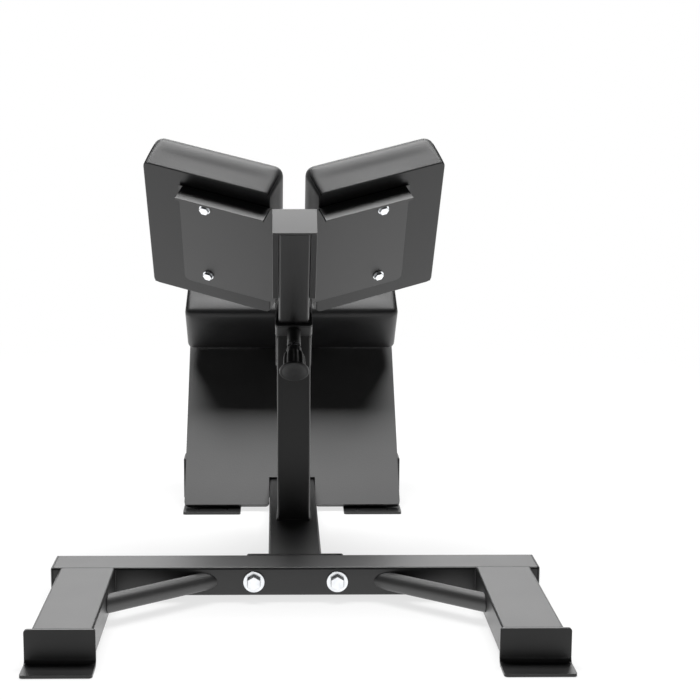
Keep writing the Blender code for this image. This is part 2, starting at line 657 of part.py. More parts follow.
def pad_outline(width, length, corner):
    # Rounded corners, with the sides between them drawn in a little
    points = []
    for turn in range(4):
        run, reach = (width / 2, length / 2) if turn % 2 else (length / 2, width / 2)
        side = [(reach - PAD_SIDE_DRAW * (1 - share ** 2), run * share) for share in (-0.4, 0.0, 0.4)]
        for step in range(4):
            angle = math.radians(30 * step)
            side.append((reach + corner * (math.cos(angle) - 1), run + corner * (math.sin(angle) - 1)))
        for x, y in side:
            for _ in range(turn):
                x, y = -y, x
            points.append((x, y))
    return points


def cushion(width, length, thickness):
    # Rings from the flat back, up the flared sides and over the rounded edge to the crown
    levels = [(0.0, 0.0, 0.0), (0.0, 0.5 * (thickness - PAD_EDGE), 0.6)]
    for step in range(5):
        angle = math.radians(22.5 * step)
        levels.append((PAD_EDGE * (1 - math.cos(angle)), thickness - PAD_EDGE * (1 - math.sin(angle)), 1.0))
    middle = min(width, length) / 2
    levels += [(middle * 0.4, thickness + PAD_CROWN * 0.6, 1.0), (middle * 0.75, thickness + PAD_CROWN, 1.0)]
    rings = []
    for inset, level, share in levels:
        grow = 2 * (PAD_FLARE * share - inset)
        corner = PAD_CORNER + (PAD_FRONT_CORNER - PAD_CORNER) * share
        rings.append((pad_outline(width + grow, length + grow, corner), -level))
    solid = loft(rings, closed=False)
    solid.data.transform(Matrix.Rotation(math.radians(90), 4, "X"))
    return solid


def build_pad(label, names, size, centre, bolt_places, frame):
    # The board sits in a pocket in the cushion's back; the bolts enter the board from behind
    width, length, thickness = size
    pad = cushion(width, length, thickness)
    place(pad, names[0] + label, VINYL, centre, (0.0, 0.0, 0.0), frame)
    board_width = width - 2 * PAD_BOARD_MARGIN
    board_length = length - 2 * PAD_BOARD_MARGIN
    pocket = (board_width + 2 * SEAT_GAP, 2 * (PAD_BOARD_THICKNESS + SEAT_GAP), board_length + 2 * SEAT_GAP)
    cut_box(pad, pocket, centre)
    loops = [rounded_rectangle(board_width, board_length, PAD_CORNER / 2)]
    bore = PAD_BOLT_DIAMETER / 2 + SEAT_GAP
    loops += [circle(bore, 16, (x - centre[0], z - centre[2])) for x, z in bolt_places]
    board = extruded(loops, PAD_BOARD_THICKNESS)
    location = (centre[0], PAD_BOARD_THICKNESS / 2, centre[2])
    place(board, names[1] + label, BOARD, location, FRONT_VIEW, frame)


def build_hip_pad(side, label, frame):
    across = side * (PAD_INNER_EDGE + PAD_WIDTH / 2)
    places = [(side * PAD_BOLT_FROM_CENTRE, height) for height in PAD_BOLT_HEIGHTS]
    build_pad(label, ("hip_cushion_", "hip_board_"), (PAD_WIDTH, PAD_LENGTH, PAD_THICKNESS),
              (across, 0.0, PAD_LENGTH / 2), places, frame)
    plate_back = -SEAT_GAP - BRACKET_SHEET
    for height, level in zip(PAD_BOLT_HEIGHTS, ("lower", "upper")):
        location = (side * PAD_BOLT_FROM_CENTRE, plate_back - SEAT_GAP, height)
        pad_bolt("pad_bolt_" + level + "_" + label, location, FRONT_VIEW, BRACKET_SHEET, frame)


def build_pad_bracket(side, label, frame):
    # A plate on the pad's back whose top edge is bent away from the pad as a stiffening flange
    width = BRACKET_OUTER_EDGE - BRACKET_INNER_EDGE
    centre = side * (BRACKET_OUTER_EDGE + BRACKET_INNER_EDGE) / 2
    profile = bent_strip(BRACKET_TOP - BRACKET_BOTTOM, BRACKET_FLANGE, BRACKET_SHEET, BEND_RADIUS / 2)
    bend = BEND_RADIUS / 2 + BRACKET_SHEET
    upside_down = [(x, max(0.0, -x - bend) * math.tan(FLANGE_LEAN) - y) for x, y in profile]
    bracket = as_mesh(extruded([upside_down], width))
    low = BRACKET_BOTTOM - BRACKET_TOP
    round_edges(bracket, 0, lambda middle: middle.y < low + 0.0005, BRACKET_CORNER)
    round_edges(bracket, 1, lambda middle: middle.x < -BRACKET_FLANGE + 0.0005, 0.004)
    place(bracket, "pad_bracket_" + label, STEEL, (centre, -SEAT_GAP, BRACKET_TOP), SIDE_VIEW, frame)
    for start, finish in ((BRACKET_INNER_EDGE, FLANGE_INNER_EDGE), (FLANGE_OUTER_EDGE, BRACKET_OUTER_EDGE)):
        overrun = 0.004
        if start == BRACKET_INNER_EDGE:
            start -= overrun
        else:
            finish += overrun
        middle = (side * (start + finish) / 2, -SEAT_GAP - BRACKET_SHEET - BRACKET_FLANGE / 2, BRACKET_TOP)
        cut_box(bracket, (finish - start, BRACKET_FLANGE, BEND_RADIUS * 4), middle)
    for height in PAD_BOLT_HEIGHTS:
        location = (side * PAD_BOLT_FROM_CENTRE, -BRACKET_SHEET, height)
        drill(bracket, PAD_BOLT_DIAMETER + 2 * BOLT_CLEARANCE, BRACKET_SHEET * 6, location, ALONG_Y)


def build_calf_pad():
    width = CALF_PAD_WIDTH
    centre = (0.0, 0.0, CALF_PAD_HEIGHT / 2)
    places = [(side * CALF_BOLT_SPACING / 2, CALF_PAD_HEIGHT / 2) for side, _ in SIDES]
    build_pad("", ("calf_cushion", "calf_board"), (width, CALF_PAD_HEIGHT, CALF_PAD_THICKNESS),
              centre, places, CALF_FRAME)


# Post, sleeve and sliding carriage. In the slide's frame Z runs up the slide from the sleeve
# mouth and Y points away from it, to the padded side.


def build_post():
    slope = math.tan(SLIDE_ANGLE)
    height = 2 * POST_FRONT_TOP
    post = as_mesh(hollow_section(POST_SIZE, POST_SIZE, height))
    rise = (COLLAR_STEP - SEAT_GAP) / math.cos(SLIDE_ANGLE)
    mitre(post, 1, lambda corner: POST_FRONT_TOP + rise - (corner.y + POST_SIZE / 2) * slope)
    mitre(post, -1, lambda corner: CROSSBAR_TOP + SEAT_GAP)
    place(post, "post", STEEL, (0.0, POST_SETBACK + POST_SIZE / 2, 0.0), (0.0, 0.0, 0.0), FRAME)


def build_sleeve():
    # A sleeve as wide as the post, and a wider collar on its mouth that holds the bush
    top = -COLLAR_LENGTH - SEAT_GAP
    sleeve = as_mesh(hollow_section(SLEEVE_SIZE, SLEEVE_SIZE, SLEEVE_LENGTH + top))
    middle = (top - SLEEVE_LENGTH) / 2
    place(sleeve, "slide_sleeve", STEEL, (0.0, 0.0, middle), (0.0, 0.0, 0.0), SLIDE_FRAME)
    top = -BUSH_LIP - SEAT_GAP
    collar = as_mesh(hollow_section(COLLAR_SIZE, COLLAR_SIZE, COLLAR_LENGTH + top))
    middle = (top - COLLAR_LENGTH) / 2
    place(collar, "sleeve_collar", STEEL, (0.0, 0.0, middle), (0.0, 0.0, 0.0), SLIDE_FRAME)
    bore = PIN_DIAMETER + 2 * SLIDE_CLEARANCE
    drill(collar, bore, TUBE_WALL * 6, (0.0, -COLLAR_SIZE / 2, -PIN_SETBACK), ALONG_Y)
    inside = SLIDE_TUBE_SIZE + 2 * SLIDE_CLEARANCE
    outside = COLLAR_SIZE - 2 * (TUBE_WALL + SEAT_GAP)
    inner = rounded_rectangle(inside, inside, TUBE_CORNER + SLIDE_CLEARANCE)
    body = rounded_rectangle(outside, outside, TUBE_CORNER)
    lip = rounded_rectangle(COLLAR_SIZE, COLLAR_SIZE, TUBE_CORNER)
    rings = [(body, -COLLAR_LENGTH), (body, -BUSH_LIP), (lip, -BUSH_LIP), (lip, 0.0),
             (inner, 0.0), (inner, -COLLAR_LENGTH)]
    bush = loft(rings, closed=True)
    place(bush, "sleeve_bush", PLASTIC, (0.0, 0.0, 0.0), (0.0, 0.0, 0.0), SLIDE_FRAME)
    drill(bush, bore, TUBE_WALL * 6, (0.0, -COLLAR_SIZE / 2 + TUBE_WALL, -PIN_SETBACK), ALONG_Y)


def build_slide_tube():
    length = SLIDE_TUBE_ABOVE + SLIDE_TUBE_BELOW
    tube = as_mesh(hollow_section(SLIDE_TUBE_SIZE, SLIDE_TUBE_SIZE, length))
    middle = (SLIDE_TUBE_ABOVE - SLIDE_TUBE_BELOW) / 2
    place(tube, "slide_tube", STEEL, (0.0, 0.0, middle), (0.0, 0.0, 0.0), CARRIAGE)
    hole = PIN_DIAMETER + 4 * SLIDE_CLEARANCE
    for step in range(INDEX_STEPS + 1):
        level = -PIN_SETBACK - step * INDEX_PITCH
        drill(tube, hole, TUBE_WALL * 6, (0.0, -SLIDE_TUBE_SIZE / 2, level), ALONG_Y)
    end = (0.0, 0.0, -SLIDE_TUBE_BELOW - SEAT_GAP)
    end_plug(SLIDE_TUBE_SIZE, SLIDE_TUBE_SIZE, "slide_tube_cap", end, (math.radians(180), 0.0, 0.0), CARRIAGE)


def build_cheek(side, label):
    # A thick flat beside the slide tube; its rear edge rises to carry the pad bracket
    near = SLIDE_TUBE_SIZE / 2 + SEAT_GAP
    front = CHEEK_SETBACK - SLIDE_TUBE_SIZE / 2
    behind_sheet = (BRACKET_SHEET + 2 * SEAT_GAP) / math.cos(PAD_DIHEDRAL)
    rear = PAD_PLANE_OFFSET + near * math.tan(PAD_DIHEDRAL) - behind_sheet
    shoulder = SLIDE_TUBE_SIZE / 2
    step = SLIDE_TUBE_ABOVE - 0.016
    profile = [(front, CHEEK_START), (rear, CHEEK_START), (rear, step), (shoulder, step),
               (shoulder, SLIDE_TUBE_ABOVE), (front, SLIDE_TUBE_ABOVE)]
    cheek = extruded([profile], CHEEK_THICKNESS)
    location = (side * (near + CHEEK_THICKNESS / 2), 0.0, 0.0)
    place(cheek, "cheek_" + label, STEEL, location, SIDE_VIEW, CARRIAGE)


def build_end_plate():
    width = SLIDE_TUBE_SIZE + 2 * (SEAT_GAP + CHEEK_THICKNESS)
    depth = SLIDE_TUBE_SIZE + 0.0018
    plate = extruded([rounded_rectangle(width, depth, 0.0015)], END_PLATE_THICKNESS)
    level = SLIDE_TUBE_ABOVE + SEAT_GAP + END_PLATE_THICKNESS / 2
    shift = (depth - SLIDE_TUBE_SIZE) / 2
    place(plate, "slide_end_plate", STEEL, (0.0, shift, level), (0.0, 0.0, 0.0), CARRIAGE)


# Pull pin. In its frame Z runs outwards from the slide tube's axis.


def build_pin_housing():
    start = COLLAR_SIZE / 2 + SEAT_GAP
    finish = start + PIN_HOUSING_LENGTH
    outer = PIN_HOUSING_DIAMETER / 2
    bore = PIN_DIAMETER / 2 + SLIDE_CLEARANCE
    chamber = PIN_COLLAR_DIAMETER / 2 + SEAT_GAP
    housing = turned([(outer, finish), (outer, start), (bore, start), (bore, start + HOUSING_FLOOR),
                      (chamber, start + HOUSING_FLOOR), (chamber, finish)])
    place(housing, "pin_housing", STEEL, (0.0, 0.0, 0.0), (0.0, 0.0, 0.0), PIN_FRAME)
    cap_start = finish + SEAT_GAP
    cap = turned([(outer, cap_start + HOUSING_CAP_THICKNESS), (outer, cap_start),
                  (bore, cap_start), (bore, cap_start + HOUSING_CAP_THICKNESS)])
    place(cap, "pin_housing_cap", STEEL, (0.0, 0.0, 0.0), (0.0, 0.0, 0.0), PIN_FRAME)
    build_spring(finish)


def build_spring(seat):
    # Drawn at its shortest length, with the pin pulled right out, against the housing's cap
    radius = (PIN_DIAMETER + PIN_COLLAR_DIAMETER) / 4 + SPRING_WIRE / 4
    room = seat - pin_collar_start() - PIN_COLLAR_LENGTH - PIN_TRAVEL - 2 * SEAT_GAP
    rise = room - SPRING_WIRE
    curve = bpy.data.curves.new("pin_spring", "CURVE")
    curve.dimensions = "3D"
    curve.bevel_depth = SPRING_WIRE / 2
    curve.bevel_resolution = 1
    curve.use_fill_caps = True
    spline = curve.splines.new("POLY")
    count = int(SPRING_TURNS * 10) + 1
    spline.points.add(count - 1)
    start = seat - SEAT_GAP - SPRING_WIRE / 2 - rise
    for index, point in enumerate(spline.points):
        share = index / (count - 1)
        angle = 2 * math.pi * SPRING_TURNS * share
        point.co = (radius * math.cos(angle), radius * math.sin(angle), start + rise * share, 1.0)
    spring = bpy.data.objects.new("pin_spring", curve)
    place(spring, "pin_spring", ZINC, (0.0, 0.0, 0.0), (0.0, 0.0, 0.0), PIN_FRAME)
    print("spring: gap between turns", round((rise / SPRING_TURNS - SPRING_WIRE) * 1000, 2), "mm")


def pin_collar_start():
    return COLLAR_SIZE / 2 + SEAT_GAP + HOUSING_FLOOR + SEAT_GAP


def knob_start():
    housing_end = COLLAR_SIZE / 2 + 2 * SEAT_GAP + PIN_HOUSING_LENGTH + HOUSING_CAP_THICKNESS
    return housing_end + KNOB_STANDOFF


def build_pin():
    tip = SLIDE_TUBE_SIZE / 2 - TUBE_WALL - PIN_ENGAGEMENT
    radius = PIN_DIAMETER / 2
    collar = PIN_COLLAR_DIAMETER / 2
    collar_start = pin_collar_start()
    collar_end = collar_start + PIN_COLLAR_LENGTH
    end = knob_start() + KNOB_LENGTH * 0.7
    chamfer = radius * 0.3
    pin = turned([(0.0, end), (radius, end), (radius, collar_end), (collar, collar_end),
                  (collar, collar_start), (radius, collar_start), (radius, tip + chamfer),
                  (radius - chamfer, tip), (0.0, tip)])
    place(pin, "pull_pin", ZINC, (0.0, 0.0, 0.0), (0.0, 0.0, 0.0), PIN_CARRIER)


def lobed(radius, depth, count):
    points = []
    for index in range(count):
        angle = 2 * math.pi * index / count
        reach = radius - depth * (1 - math.cos(KNOB_LOBES * angle)) / 2
        points.append((reach * math.cos(angle), reach * math.sin(angle)))
    return points


def build_knob():
    # A fluted grip that swells from a narrow neck and ends in a wider flat rim; each section
    # gives its radius, its share of the flutes and its place along the knob
    count = KNOB_LOBES * 6
    start = knob_start()
    grip = KNOB_GRIP_DIAMETER / 2
    rim = KNOB_RIM_DIAMETER / 2
    rim_start = KNOB_LENGTH - KNOB_RIM_THICKNESS
    bore = PIN_DIAMETER / 2 + SEAT_GAP
    sections = [(grip * 0.5, 0.0, 0.0), (grip * 0.62, 0.0, rim_start * 0.03),
                (grip * 0.86, 0.5, rim_start * 0.15), (grip * 0.97, 1.0, rim_start * 0.32),
                (grip, 1.0, rim_start * 0.54), (grip, 1.0, rim_start * 0.92),
                (rim * 0.93, 0.0, rim_start), (rim, 0.0, rim_start + KNOB_RIM_THICKNESS / 2),
                (rim * 0.93, 0.0, KNOB_LENGTH * 0.99), (rim * 0.8, 0.0, KNOB_LENGTH)]
    rings = [(lobed(radius, KNOB_LOBE_DEPTH * share * 2, count), start + level)
             for radius, share, level in sections]
    knob = loft(rings, closed=False)
    place(knob, "pull_knob", PLASTIC, (0.0, 0.0, 0.0), (0.0, 0.0, 0.0), PIN_CARRIER)
    depth = KNOB_LENGTH * 0.7 + SEAT_GAP
    drill(knob, bore * 2, depth * 2, (0.0, 0.0, start))


SIDES = ((-1, "left"), (1, "right"))

clear_scene()
PARTS = new_collection("hyperextension_bench")
CUTTERS = new_collection("cutters", hidden=True)

STEEL = new_material("black powder coated steel", (0.013, 0.013, 0.014), 0.42)
VINYL = new_material("black vinyl", (0.010, 0.010, 0.011), 0.48)
RUBBER = new_material("textured rubber", (0.022, 0.022, 0.022), 0.62)
PLASTIC = new_material("black plastic", (0.012, 0.012, 0.012), 0.40)
ZINC = new_material("bright zinc", (0.72, 0.73, 0.75), 0.28, 1.0)
BOARD = new_material("black backed plywood", (0.016, 0.015, 0.014), 0.70)

FRAME = new_empty("frame_origin", (0.0, -MIDDLE, 0.0))
FOOT_FRAME = new_empty("foot_plate_origin", (0.0, FOOT_PLATE_SETBACK, PANEL_LOW_EDGE),
                       (FOOT_PLATE_ANGLE - math.radians(90), 0.0, 0.0), FRAME)
CALF_FRAME = new_empty("calf_pad_origin", (0.0, -CALF_PAD_STANDOFF, CALF_PAD_BACK),
                       Matrix(((-1, 0, 0), (0, 0, -1), (0, -1, 0))).to_euler(), FOOT_FRAME)
SLIDE_FRAME = new_empty("slide_origin", SLEEVE_MOUTH,
                        (math.radians(90) - SLIDE_ANGLE, 0.0, 0.0), FRAME)
CARRIAGE = new_empty("carriage", (0.0, 0.0, 0.0), parent=SLIDE_FRAME)
PIN_FRAME = new_empty("pin_origin", (0.0, 0.0, -PIN_SETBACK), (math.radians(90), 0.0, 0.0), SLIDE_FRAME)
PIN_CARRIER = new_empty("pin_carrier", (0.0, 0.0, 0.0), parent=PIN_FRAME)

build_crossbar()
build_beam()
build_rear_crossbar()
build_foot_plate()
build_mast()
build_calf_bracket()
build_calf_pad()
build_post()
build_sleeve()
build_slide_tube()
build_end_plate()
build_pin_housing()
build_pin()
build_knob()
for side_sign, side_label in SIDES:
    build_front_leg(side_sign, side_label)
    build_front_foot(side_sign, side_label)
    build_brace(side_sign, side_label)
    build_crossbar_bolt(side_sign, side_label)
    build_rear_foot(side_sign, side_label)
    build_cheek(side_sign, side_label)
    pad_frame = new_empty("hip_pad_origin_" + side_label, (0.0, PAD_PLANE_OFFSET, -PAD_BELOW_MOUTH),
                          (0.0, 0.0, side_sign * PAD_DIHEDRAL), CARRIAGE)
    build_hip_pad(side_sign, side_label, pad_frame)
    build_pad_bracket(side_sign, side_label, pad_frame)
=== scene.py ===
# Hyperextension bench: its looks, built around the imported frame.
import json
import math

import bmesh
import bpy
from mathutils import Matrix, Vector

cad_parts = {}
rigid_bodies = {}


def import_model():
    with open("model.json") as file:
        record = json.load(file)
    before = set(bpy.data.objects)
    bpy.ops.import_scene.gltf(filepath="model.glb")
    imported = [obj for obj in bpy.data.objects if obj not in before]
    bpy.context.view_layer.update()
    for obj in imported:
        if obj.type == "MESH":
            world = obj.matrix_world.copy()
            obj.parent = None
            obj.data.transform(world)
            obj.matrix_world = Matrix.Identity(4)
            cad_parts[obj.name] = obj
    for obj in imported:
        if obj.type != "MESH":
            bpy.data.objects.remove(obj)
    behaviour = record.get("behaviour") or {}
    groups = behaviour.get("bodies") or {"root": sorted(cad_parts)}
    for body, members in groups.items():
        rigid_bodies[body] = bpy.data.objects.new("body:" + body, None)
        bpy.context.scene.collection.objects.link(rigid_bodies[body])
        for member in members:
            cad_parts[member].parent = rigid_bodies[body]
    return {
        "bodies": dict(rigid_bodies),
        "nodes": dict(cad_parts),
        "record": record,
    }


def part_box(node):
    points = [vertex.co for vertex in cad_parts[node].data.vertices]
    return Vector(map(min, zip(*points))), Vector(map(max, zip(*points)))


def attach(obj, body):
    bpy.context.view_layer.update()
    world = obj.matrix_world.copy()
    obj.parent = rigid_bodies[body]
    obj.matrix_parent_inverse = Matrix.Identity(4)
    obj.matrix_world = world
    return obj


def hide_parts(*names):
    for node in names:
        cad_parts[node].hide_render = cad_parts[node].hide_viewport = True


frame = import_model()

nodes = frame["nodes"]
kept = set(nodes.values()) | set(frame["bodies"].values())
for stray in [o for o in bpy.data.objects if o not in kept]:
    bpy.data.objects.remove(stray, do_unlink=True)
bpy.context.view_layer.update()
scene = bpy.context.scene
print("frame:", len(nodes), "nodes")

# Places that the pieces share, taken from the frame where a node shows them
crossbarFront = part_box("front_crossbar")[0].y
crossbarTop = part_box("front_crossbar")[1].z
crossbarHeight = 0.040
slideAngle = math.radians(48)
seatGap = 0.0003
postSize = 0.050
collarSize = 0.055
sleeveOverhang = 0.0261      # sleeve mouth in front of the post, along the slide
upSlide = Vector((0.0, -math.cos(slideAngle), math.sin(slideAngle)))
offSlide = Vector((0.0, math.sin(slideAngle), math.cos(slideAngle)))
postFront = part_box("post")[0].y
collarStep = (collarSize - postSize) / 2
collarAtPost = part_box("post")[1].z - (collarStep - seatGap) / math.cos(slideAngle)
sleeveMouth = Vector((0.0, postFront, collarAtPost)) + sleeveOverhang * upSlide + collarSize / 2 * offSlide
slideFrame = Matrix.Translation(sleeveMouth) @ Matrix.Rotation(math.radians(90) - slideAngle, 4, "X")
footPlateAngle = math.radians(48)
footPlateBehind = 0.4614     # low edge of the foot plate behind the crossbar's front
footPlateHeight = 0.01115
footPlateLow = Vector((0.0, crossbarFront + footPlateBehind, footPlateHeight))
footPlateTurn = Matrix.Rotation(footPlateAngle - math.radians(90), 4, "X")
footPlateFrame = Matrix.Translation(footPlateLow) @ footPlateTurn


def linear(hexColour):
    # sRGB hex to the linear colour that a socket takes
    channels = [int(hexColour[start:start + 2], 16) / 255 for start in (1, 3, 5)]
    return tuple(c / 12.92 if c <= 0.04045 else ((c + 0.055) / 1.055) ** 2.4 for c in channels) + (1.0,)


def addNode(tree, kind, settings=None, links=None):
    # Settings name a property or an input socket, links name an input socket
    node = tree.nodes.new(kind)
    for name, value in (settings or {}).items():
        if isinstance(name, int) or name in node.inputs:
            node.inputs[name].default_value = value
        else:
            setattr(node, name, value)
    for name, source in (links or {}).items():
        tree.links.new(source, node.inputs[name])
    return node


def newMaterial(name, settings):
    material = bpy.data.materials.new(name)
    material.use_nodes = True
    tree = material.node_tree
    shader = tree.nodes["Principled BSDF"]
    for socket, value in settings.items():
        shader.inputs[socket].default_value = value
    place = addNode(tree, "ShaderNodeTexCoord").outputs["Object"]
    return material, tree, shader, place


def perMetre(millimetres):
    # A texture scale whose features are this far apart
    return 1000.0 / millimetres


toneRange = (0.35, 0.65)     # where most values of a noise texture lie


def followTexture(tree, shader, amount, look):
    # Colour follows the texture, and so does roughness where the look gives it two values
    ramp = addNode(tree, "ShaderNodeValToRGB", links={"Fac": amount})
    for stop, place, tone in zip(ramp.color_ramp.elements, toneRange, (look["dark"], look["light"])):
        stop.position = place
        stop.color = linear(tone)
    tree.links.new(ramp.outputs["Color"], shader.inputs["Base Color"])
    if "roughness" in look:
        least, most = look["roughness"]
        gloss = addNode(tree, "ShaderNodeMapRange", {"To Min": least, "To Max": most}, {"Value": amount})
        tree.links.new(gloss.outputs["Result"], shader.inputs["Roughness"])


# Satin epoxy-polyester powder coat on steel tube: near black, an even soft gloss that turns
# pale at a grazing look, with the faint orange peel of melted powder
powderCoatLook = {
    "name": "satinPowderCoat", "dark": "#090909", "light": "#0e0e0f", "cloudMm": 70, "peelMm": 2.2,
    "roughness": (0.37, 0.43), "specular": 0.5, "peelHeight": 0.00001, "peelStrength": 0.6,
}
# The same powder lies thicker on the round braces: a coarse orange peel that breaks the gloss
# into a broad, grainy sheen
thickCoatLook = dict(powderCoatLook, name="thickPowderCoat", peelMm=3.0, peelHeight=0.00008,
                     roughness=(0.52, 0.58), specular=0.9)


def powderCoat(look):
    material, tree, shader, place = newMaterial(look["name"], {
        "Metallic": 0.0, "IOR": 1.5, "Specular IOR Level": look["specular"]})
    cloud = addNode(tree, "ShaderNodeTexNoise", {"Scale": perMetre(look["cloudMm"]), "Detail": 4.0},
                    {"Vector": place})
    peel = addNode(tree, "ShaderNodeTexNoise", {"Scale": perMetre(look["peelMm"]), "Detail": 2.0},
                   {"Vector": place})
    followTexture(tree, shader, cloud.outputs["Fac"], look)
    bump = addNode(tree, "ShaderNodeBump", {
        "Strength": look["peelStrength"], "Distance": look["peelHeight"]}, {"Height": peel.outputs["Fac"]})
    tree.links.new(bump.outputs["Normal"], shader.inputs["Normal"])
    return material


# Bright zinc electroplate on bolts and nuts: silvery, a little blue, lightly cloudy
zincLook = {"dark": "#c8cacd", "light": "#d6d8da", "cloudMm": 9, "roughness": (0.26, 0.32)}


def zincPlate(look):
    material, tree, shader, place = newMaterial("brightZincPlate", {"Metallic": 1.0})
    cloud = addNode(tree, "ShaderNodeTexNoise", {"Scale": perMetre(look["cloudMm"]), "Detail": 3.0},
                    {"Vector": place})
    followTexture(tree, shader, cloud.outputs["Fac"], look)
    return material


# Injection-moulded polyethylene plugs, bush and knob: black, a dull sheen over spark-eroded grain
mouldedLook = {"dark": "#0d0d0e", "light": "#151516", "grainMm": 1.4, "roughness": (0.40, 0.52),
               "specular": 0.4, "grainHeight": 0.00003, "grainStrength": 0.5}


def mouldedPlastic(look):
    material, tree, shader, place = newMaterial("mouldedPolyethylene", {
        "Metallic": 0.0, "IOR": 1.5, "Specular IOR Level": look["specular"]})
    grain = addNode(tree, "ShaderNodeTexNoise", {"Scale": perMetre(look["grainMm"]), "Detail": 3.0},
                    {"Vector": place})
    followTexture(tree, shader, grain.outputs["Fac"], look)
    bump = addNode(tree, "ShaderNodeBump", {
        "Strength": look["grainStrength"], "Distance": look["grainHeight"]},
        {"Height": grain.outputs["Fac"]})
    tree.links.new(bump.outputs["Normal"], shader.inputs["Normal"])
    return material


# PVC upholstery leathercloth stretched over foam: smooth, an even dull gloss, and an embossed
# leather grain, drawn at 1.8 mm where the real one is about 1 mm
leatherclothLook = {"dark": "#0a0a0b", "light": "#0f0f10", "grainMm": 1.8, "cloudMm": 45,
                    "roughness": (0.44, 0.50), "specular": 0.38, "grainHeight": 0.00004,
                    "grainStrength": 0.5, "grainWander": 0.0012, "creaseWidth": 0.25}


def leathercloth(look):
    material, tree, shader, place = newMaterial("vinylLeathercloth", {
        "Metallic": 0.0, "IOR": 1.5, "Specular IOR Level": look["specular"]})
    cloud = addNode(tree, "ShaderNodeTexNoise", {"Scale": perMetre(look["cloudMm"]), "Detail": 3.0},
                    {"Vector": place})
    warp = addNode(tree, "ShaderNodeTexNoise", {"Scale": perMetre(look["grainMm"] * 2), "Detail": 1.0},
                   {"Vector": place})
    shifted = addNode(tree, "ShaderNodeMix", {"data_type": "VECTOR", "Factor": look["grainWander"]},
                      {4: place, 5: warp.outputs["Color"]})
    cells = addNode(tree, "ShaderNodeTexVoronoi", {
        "feature": "DISTANCE_TO_EDGE", "Scale": perMetre(look["grainMm"])}, {"Vector": shifted.outputs[1]})
    crease = addNode(tree, "ShaderNodeMapRange", {
        "From Max": look["creaseWidth"], "To Min": 0.0, "To Max": 1.0}, {"Value": cells.outputs["Distance"]})
    followTexture(tree, shader, cloud.outputs["Fac"], look)
    bump = addNode(tree, "ShaderNodeBump", {
        "Strength": look["grainStrength"], "Distance": look["grainHeight"]},
        {"Height": crease.outputs["Result"]})
    tree.links.new(bump.outputs["Normal"], shader.inputs["Normal"])
    return material


# Nitrile rubber sheet on the foot plate: matt black, moulded with a pebbled, slip-resistant face
rubberLook = {"dark": "#0c0c0d", "light": "#121213", "pebbleMm": 3.2, "cloudMm": 30,
              "roughness": (0.55, 0.61), "specular": 1.0, "pebbleHeight": 0.00006,
              "pebbleStrength": 0.7, "pebbleBlend": 0.4, "pebbleReach": 0.6}


def pebbledRubber(look):
    material, tree, shader, place = newMaterial("pebbledRubber", {
        "Metallic": 0.0, "IOR": 1.52, "Specular IOR Level": look["specular"]})
    cloud = addNode(tree, "ShaderNodeTexNoise", {"Scale": perMetre(look["cloudMm"]), "Detail": 3.0},
                    {"Vector": place})
    cells = addNode(tree, "ShaderNodeTexVoronoi", {
        "feature": "SMOOTH_F1", "Scale": perMetre(look["pebbleMm"]), "Smoothness": look["pebbleBlend"]},
        {"Vector": place})
    dome = addNode(tree, "ShaderNodeMapRange", {
        "From Max": look["pebbleReach"], "To Min": 1.0, "To Max": 0.0}, {"Value": cells.outputs["Distance"]})
    followTexture(tree, shader, cloud.outputs["Fac"], look)
    bump = addNode(tree, "ShaderNodeBump", {
        "Strength": look["pebbleStrength"], "Distance": look["pebbleHeight"]},
        {"Height": dome.outputs["Result"]})
    tree.links.new(bump.outputs["Normal"], shader.inputs["Normal"])
    return material


# Bonded polyester thread in the closed corner seams: matt black, with its twist just showing,
# drawn at 4.75 mm where the real one is about 1.2 mm
threadLook = {"dark": "#020202", "light": "#060606", "twistMm": 4.75, "evenRoughness": 0.85,
              "specular": 0.1}


def sewingThread(look):
    material, tree, shader, place = newMaterial("bondedPolyesterThread", {
        "Metallic": 0.0, "IOR": 1.5, "Specular IOR Level": look["specular"],
        "Roughness": look["evenRoughness"]})
    wavesPerUnit = 10 / (2 * math.pi)      # of the diagonal wave at a scale of 1
    twist = addNode(tree, "ShaderNodeTexWave", {
        "bands_direction": "DIAGONAL", "Scale": perMetre(look["twistMm"]) / wavesPerUnit},
        {"Vector": place})
    followTexture(tree, shader, twist.outputs["Fac"], look)
    return material


coat = powderCoat(powderCoatLook)
thickCoat = powderCoat(thickCoatLook)
zinc = zincPlate(zincLook)
plastic = mouldedPlastic(mouldedLook)
vinyl = leathercloth(leatherclothLook)
rubber = pebbledRubber(rubberLook)
thread = sewingThread(threadLook)
finishes = {"black_powder_coat": coat, "bright_zinc": zinc, "black_plastic": plastic,
            "black_vinyl": vinyl, "pad_board": vinyl, "black_rubber": rubber}
print("materials:", len(bpy.data.materials))


# Frame nodes that stay: welded back into whole meshes, smoothed over their small facets and
# given the broken edge that cut and coated steel has
edgeBreak = {"width": 0.0006, "segments": 2, "smoothBelow": math.radians(32), "mergeWithin": 0.00001,
             "faceWeight": 80}


